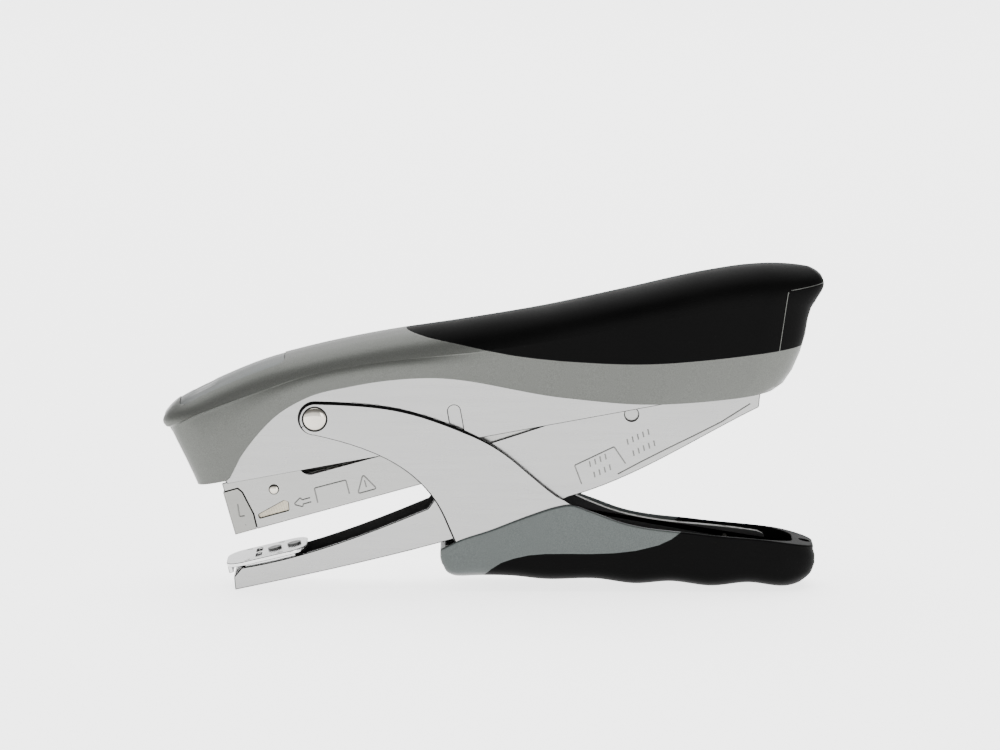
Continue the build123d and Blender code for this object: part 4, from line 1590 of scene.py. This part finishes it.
@dataclass
class Springs:
    """The return spring of the lever and the leaf spring of the magazine."""

    finishes: Finishes
    pivot: Point = (-2.0, 25.0)
    radius: float = 2.7
    wire: float = 0.6
    half_length: float = 4.8
    turns: float = 7.25
    front_leg: tuple[Point, ...] = ((-4.3, 23.4), (-12.0, 18.3), (-21.0, 13.4))
    rear_leg: tuple[Point, ...] = ((0.0, 22.9), (14.0, 16.6), (30.0, 9.9))
    leg_bend: float = 4.0
    give: tuple[Point, Point] = ((4.0, 22.0), (29.0, 10.3))
    leaf_foot: Point = (11.5, 28.2)
    leaf_left: float = 0.55

    def build_return_spring(self, coil: NodeTree, wire: NodeTree) -> None:
        """Makes the torsion spring: its coil and both legs as one piece."""
        turns = coil.grow(
            bpy.data.meshes.new("empty"), self.finishes.spring, Turns=self.turns,
            Radius=self.radius * MM, Length=2 * self.half_length * MM, Wire=self.wire * MM,
        )
        turns.transform(Matrix.Translation((self.pivot[0] * MM, self.half_length * MM,
                                            self.pivot[1] * MM)) @ Matrix.Rotation(QUARTER, 4, "X"))
        legs = [
            [Vector((x, self.half_length, z)) for x, z in self.front_leg],
            [Vector((x, -self.half_length, z)) for x, z in self.rear_leg],
        ]
        straight = wire.grow(line_mesh(legs), self.finishes.spring, Wire=self.wire * MM,
                             Corner=self.leg_bend * MM)
        whole = bmesh.new()
        whole.from_mesh(turns)
        whole.from_mesh(straight)
        mesh = bpy.data.meshes.new("lever_spring")
        whole.to_mesh(mesh)
        whole.free()
        mesh.materials.append(self.finishes.spring)
        mesh.shade_smooth()
        piece = linked("lever_spring", mesh)
        start, end = (Vector((x, 0.0, z)) * MM for x, z in self.give)
        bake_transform(piece)
        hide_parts("return_spring")
        LOG.info("lever_spring: %d faces between jaw and lever", len(mesh.polygons))

    def build_leaf(self) -> None:
        """Makes the leaf spring."""
        mesh = eased(to_mesh(merged_copy("magazine_spring"), "leaf"), 0.12, 2)
        piece = place_piece("leaf_spring", mesh, Body.UPPER, "spring_steel",
                            [self.finishes.spring], ["magazine_spring"], 40.0)
        place = magazine_place(self.leaf_foot[0], 0.0, self.leaf_foot[1])
        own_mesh(piece)

    def build(self, coil: NodeTree, wire: NodeTree) -> None:
        """Makes both springs."""
        self.build_return_spring(coil, wire)
        self.build_leaf()


# Raised marks ------------------------------------------------------------------------------


@dataclass
class RaisedMarks:
    """Plain pictograms pressed out of the magazine and the rear of the jaw, on both sides."""

    finishes: Finishes
    case_out: float = 7.0
    flap_out: float = 6.8
    jaw_out: float = 8.0
    ridge: float = 0.22
    arrow: tuple[tuple[Point, ...], ...] = (
        ((22.3, 4.5), (19.9, 4.5), (19.9, 5.3), (17.5, 3.9), (19.9, 2.5), (19.9, 3.3), (22.3, 3.3)),
    )
    staple_sign: tuple[Point, ...] = ((23.9, 2.6), (24.1, 6.7), (32.9, 6.6), (32.8, 2.7))
    warning: tuple[Point, ...] = ((37.7, 6.8), (35.0, 2.1), (40.3, 2.1), (37.7, 6.8))
    warning_bar: tuple[Point, ...] = ((37.7, 5.2), (37.7, 3.2))
    flap_line: tuple[Point, ...] = ((2.96, 8.05), (2.5, 4.55), (3.9, 4.36))
    flap_dot: tuple[Point, ...] = ((3.4, 1.9), (3.5, 1.95))
    rear_sign: tuple[Point, ...] = ((23.9, 29.2), (22.0, 34.3), (32.6, 39.4), (35.7, 34.8))
    ledge: tuple[Point, ...] = (
        (33.6, 31.9), (39.9, 35.3), (46.9, 38.9), (54.2, 42.5), (61.4, 46.2), (65.9, 49.1),
        (69.2, 51.2),
    )

    tick_rows: tuple[tuple[float, float, int], ...] = (
        (26.3, 33.9, 4), (27.5, 31.0, 4), (36.4, 40.0, 5), (38.0, 36.9, 5),
    )
    tick_slope: float = 25.7
    tick_pitch: float = 1.55
    tick_reach: Point = (0.75, 1.7)
    corner: float = 0.35

    def ticks(self) -> list[tuple[Point, Point]]:
        """Rows of plain short bars where a maker would stamp a size."""
        bars = []
        slope = math.radians(self.tick_slope)
        lean, rise = self.tick_reach[0] * math.sin(slope), self.tick_reach[1] * math.cos(slope)
        for start_x, start_z, count in self.tick_rows:
            for step in range(count):
                x = start_x + self.tick_pitch * step * math.cos(slope)
                z = start_z + self.tick_pitch * step * math.sin(slope)
                bars.append(((x, z), (x - lean, z + rise)))
        return bars

    def on_both_sides(self, lines: Sequence[Sequence[Point]], across: float,
                      in_magazine: bool) -> list[list[Vector]]:
        """Lines on both outer faces.

        Args:
            lines: lines in side view or in the magazine's frame.
            across: distance of the face from the middle.
            in_magazine: whether the points are in the magazine's frame.

        Returns:
            Points in millimetres.
        """
        made = []
        for side in Side:
            for line in lines:
                points = [
                    Fasteners.from_magazine(*point) if in_magazine else point for point in line
                ]
                made.append([Vector((x, side.value * across, z)) for x, z in points])
        return made

    def build(self, wire: NodeTree) -> None:
        """Makes the ridges of the magazine and of the jaw."""
        on_case = [*self.arrow, self.staple_sign, self.warning, self.warning_bar]
        sink = self.ridge * 0.45
        lines = self.on_both_sides(on_case, self.case_out - sink, True)
        lines += self.on_both_sides([self.flap_line, self.flap_dot], self.flap_out - sink, True)
        on_jaw = [self.rear_sign, self.ledge, *self.ticks()]
        rear_lines = self.on_both_sides(on_jaw, self.jaw_out - sink, False)
        for name, body, slot, ridges in (
            ("case_marks", Body.MAGAZINE, "magazine_steel", lines),
            ("jaw_marks", Body.JAW, "plated_steel", rear_lines),
        ):
            # The ridges are darker than the sheet: painted shade on their edges.
            mesh = wire.grow(line_mesh(ridges), self.finishes.mark, Wire=self.ridge * MM,
                             Corner=self.corner * MM)
            place_piece(name, mesh, body, slot, [self.finishes.mark])


# Studio ------------------------------------------------------------------------------------


@dataclass
class Studio:
    """Pale floor, soft lights and the camera."""

    azimuth: float = 0.0
    elevation: float = 10.0
    aim: tuple[float, float, float] = (1.9, 0.0, 57.6)
    distance: float = 1.5
    lens: float = 200.0
    floor_radius: float = 7.0
    far_clip: float = 50.0
    surround: tuple[Point, ...] = ((0.16, 1.0), (0.34, 0.25), (0.7, 0.1), (0.97, 0.3))
    surround_strength: float = 2.2
    sun_strength: float = 4.0
    sun_spread: float = 75.0
    sun_heading: tuple[float, float, float] = (0.08, -0.38, -1.0)
    lit_point: tuple[float, float, float] = (0.0, 0.0, 0.04)
    lamps: tuple[tuple[str, tuple[float, float, float], Point, float], ...] = (
        ("fill", (0.9, -1.3, 0.35), (0.8, 0.6), 5.0),
        ("back", (0.1, 1.3, 0.6), (1.6, 0.5), 3.0),
    )

    @staticmethod
    def hang(name: str, data: bpy.types.ID, place: Vector, heading: Vector) -> bpy.types.Object:
        """Puts a lamp or the camera in its place.

        Args:
            name: the object's name.
            data: the lamp or the camera.
            place: where it stands, in metres.
            heading: the way it looks.

        Returns:
            The object.
        """
        holder = linked(name, data)
        holder.location = place
        holder.rotation_mode = "QUATERNION"
        holder.rotation_quaternion = heading.to_track_quat("-Z", "Y")
        return holder

    def build_camera(self) -> None:
        """Makes the camera."""
        camera = bpy.data.cameras.new("camera")
        camera.lens = self.lens
        camera.sensor_width = 36.0
        camera.clip_end = self.far_clip
        turn, tilt = math.radians(self.azimuth), math.radians(self.elevation)
        back = Vector((
            math.sin(turn) * math.cos(tilt), -math.cos(turn) * math.cos(tilt), math.sin(tilt)
        ))
        place = Vector(self.aim) * MM + back * self.distance
        bpy.context.scene.camera = self.hang("camera", camera, place, -back)

    def build_light(self, name: str, place: tuple[float, float, float], size: Point,
                    power: float) -> None:
        """Makes a soft rectangular light that looks at the tool."""
        light = bpy.data.lights.new(name, "AREA")
        light.shape = "RECTANGLE"
        light.size, light.size_y = size
        light.energy = power
        self.hang(name, light, Vector(place), Vector(self.lit_point) - Vector(place))

    def build_sun(self) -> None:
        """Makes the wide soft light overhead, which lights the floor evenly."""
        sun = bpy.data.lights.new("overhead", "SUN")
        sun.energy = self.sun_strength
        sun.angle = math.radians(self.sun_spread)
        self.hang("overhead", sun, Vector(), Vector(self.sun_heading))

    def build_world(self) -> None:
        """Makes a pale surround that is darker overhead."""
        world = bpy.data.worlds.new("surround")
        bpy.context.scene.world = world
        world.use_nodes = True
        tree = world.node_tree
        tree.nodes.clear()
        output = tree.nodes.new("ShaderNodeOutputWorld")
        background = tree.nodes.new("ShaderNodeBackground")
        coordinates = tree.nodes.new("ShaderNodeTexCoord")
        split = tree.nodes.new("ShaderNodeSeparateXYZ")
        ramp = tree.nodes.new("ShaderNodeValToRGB")
        stops = ramp.color_ramp.elements
        stops[0].position, stops[1].position = self.surround[0][0], self.surround[-1][0]
        for place, _ in self.surround[1:-1]:
            stops.new(place)
        for stop, (_, grey) in zip(stops, self.surround):
            stop.color = (grey, grey, grey, 1.0)
        background.inputs["Strength"].default_value = self.surround_strength
        tree.links.new(coordinates.outputs["Generated"], split.inputs[0])
        tree.links.new(split.outputs["Z"], ramp.inputs["Fac"])
        tree.links.new(ramp.outputs["Color"], background.inputs["Color"])
        tree.links.new(background.outputs[0], output.inputs[0])

    def build_floor(self) -> None:
        """Makes the floor."""
        shape = bmesh.new()
        bmesh.ops.create_circle(shape, cap_ends=True, segments=96, radius=self.floor_radius / MM)
        floor = linked("floor", to_mesh(shape, "floor"))
        floor.data.materials.append(PaleFloor().build())

    def build(self) -> None:
        """Makes the whole studio."""
        self.build_camera()
        self.build_world()
        self.build_floor()
        self.build_sun()
        for name, place, size, power in self.lamps:
            self.build_light(name, place, size, power)


# Main --------------------------------------------------------------------------------------


def main() -> None:
    """Builds the tool and its studio."""
    logging.basicConfig(level=logging.INFO, format="%(name)s: %(message)s")
    Studio().build()
    finishes = Finishes()
    coil, wire = coil_tree(), wire_tree()
    CoverSet(finishes).build()
    HandleSet(finishes).build()
    SheetMetal(finishes).build()
    Fasteners(finishes).build()
    MagazineInside(finishes).build(coil)
    Springs(finishes).build(coil, wire)
    RaisedMarks(finishes).build(wire)


if __name__ == "__main__":
    main()
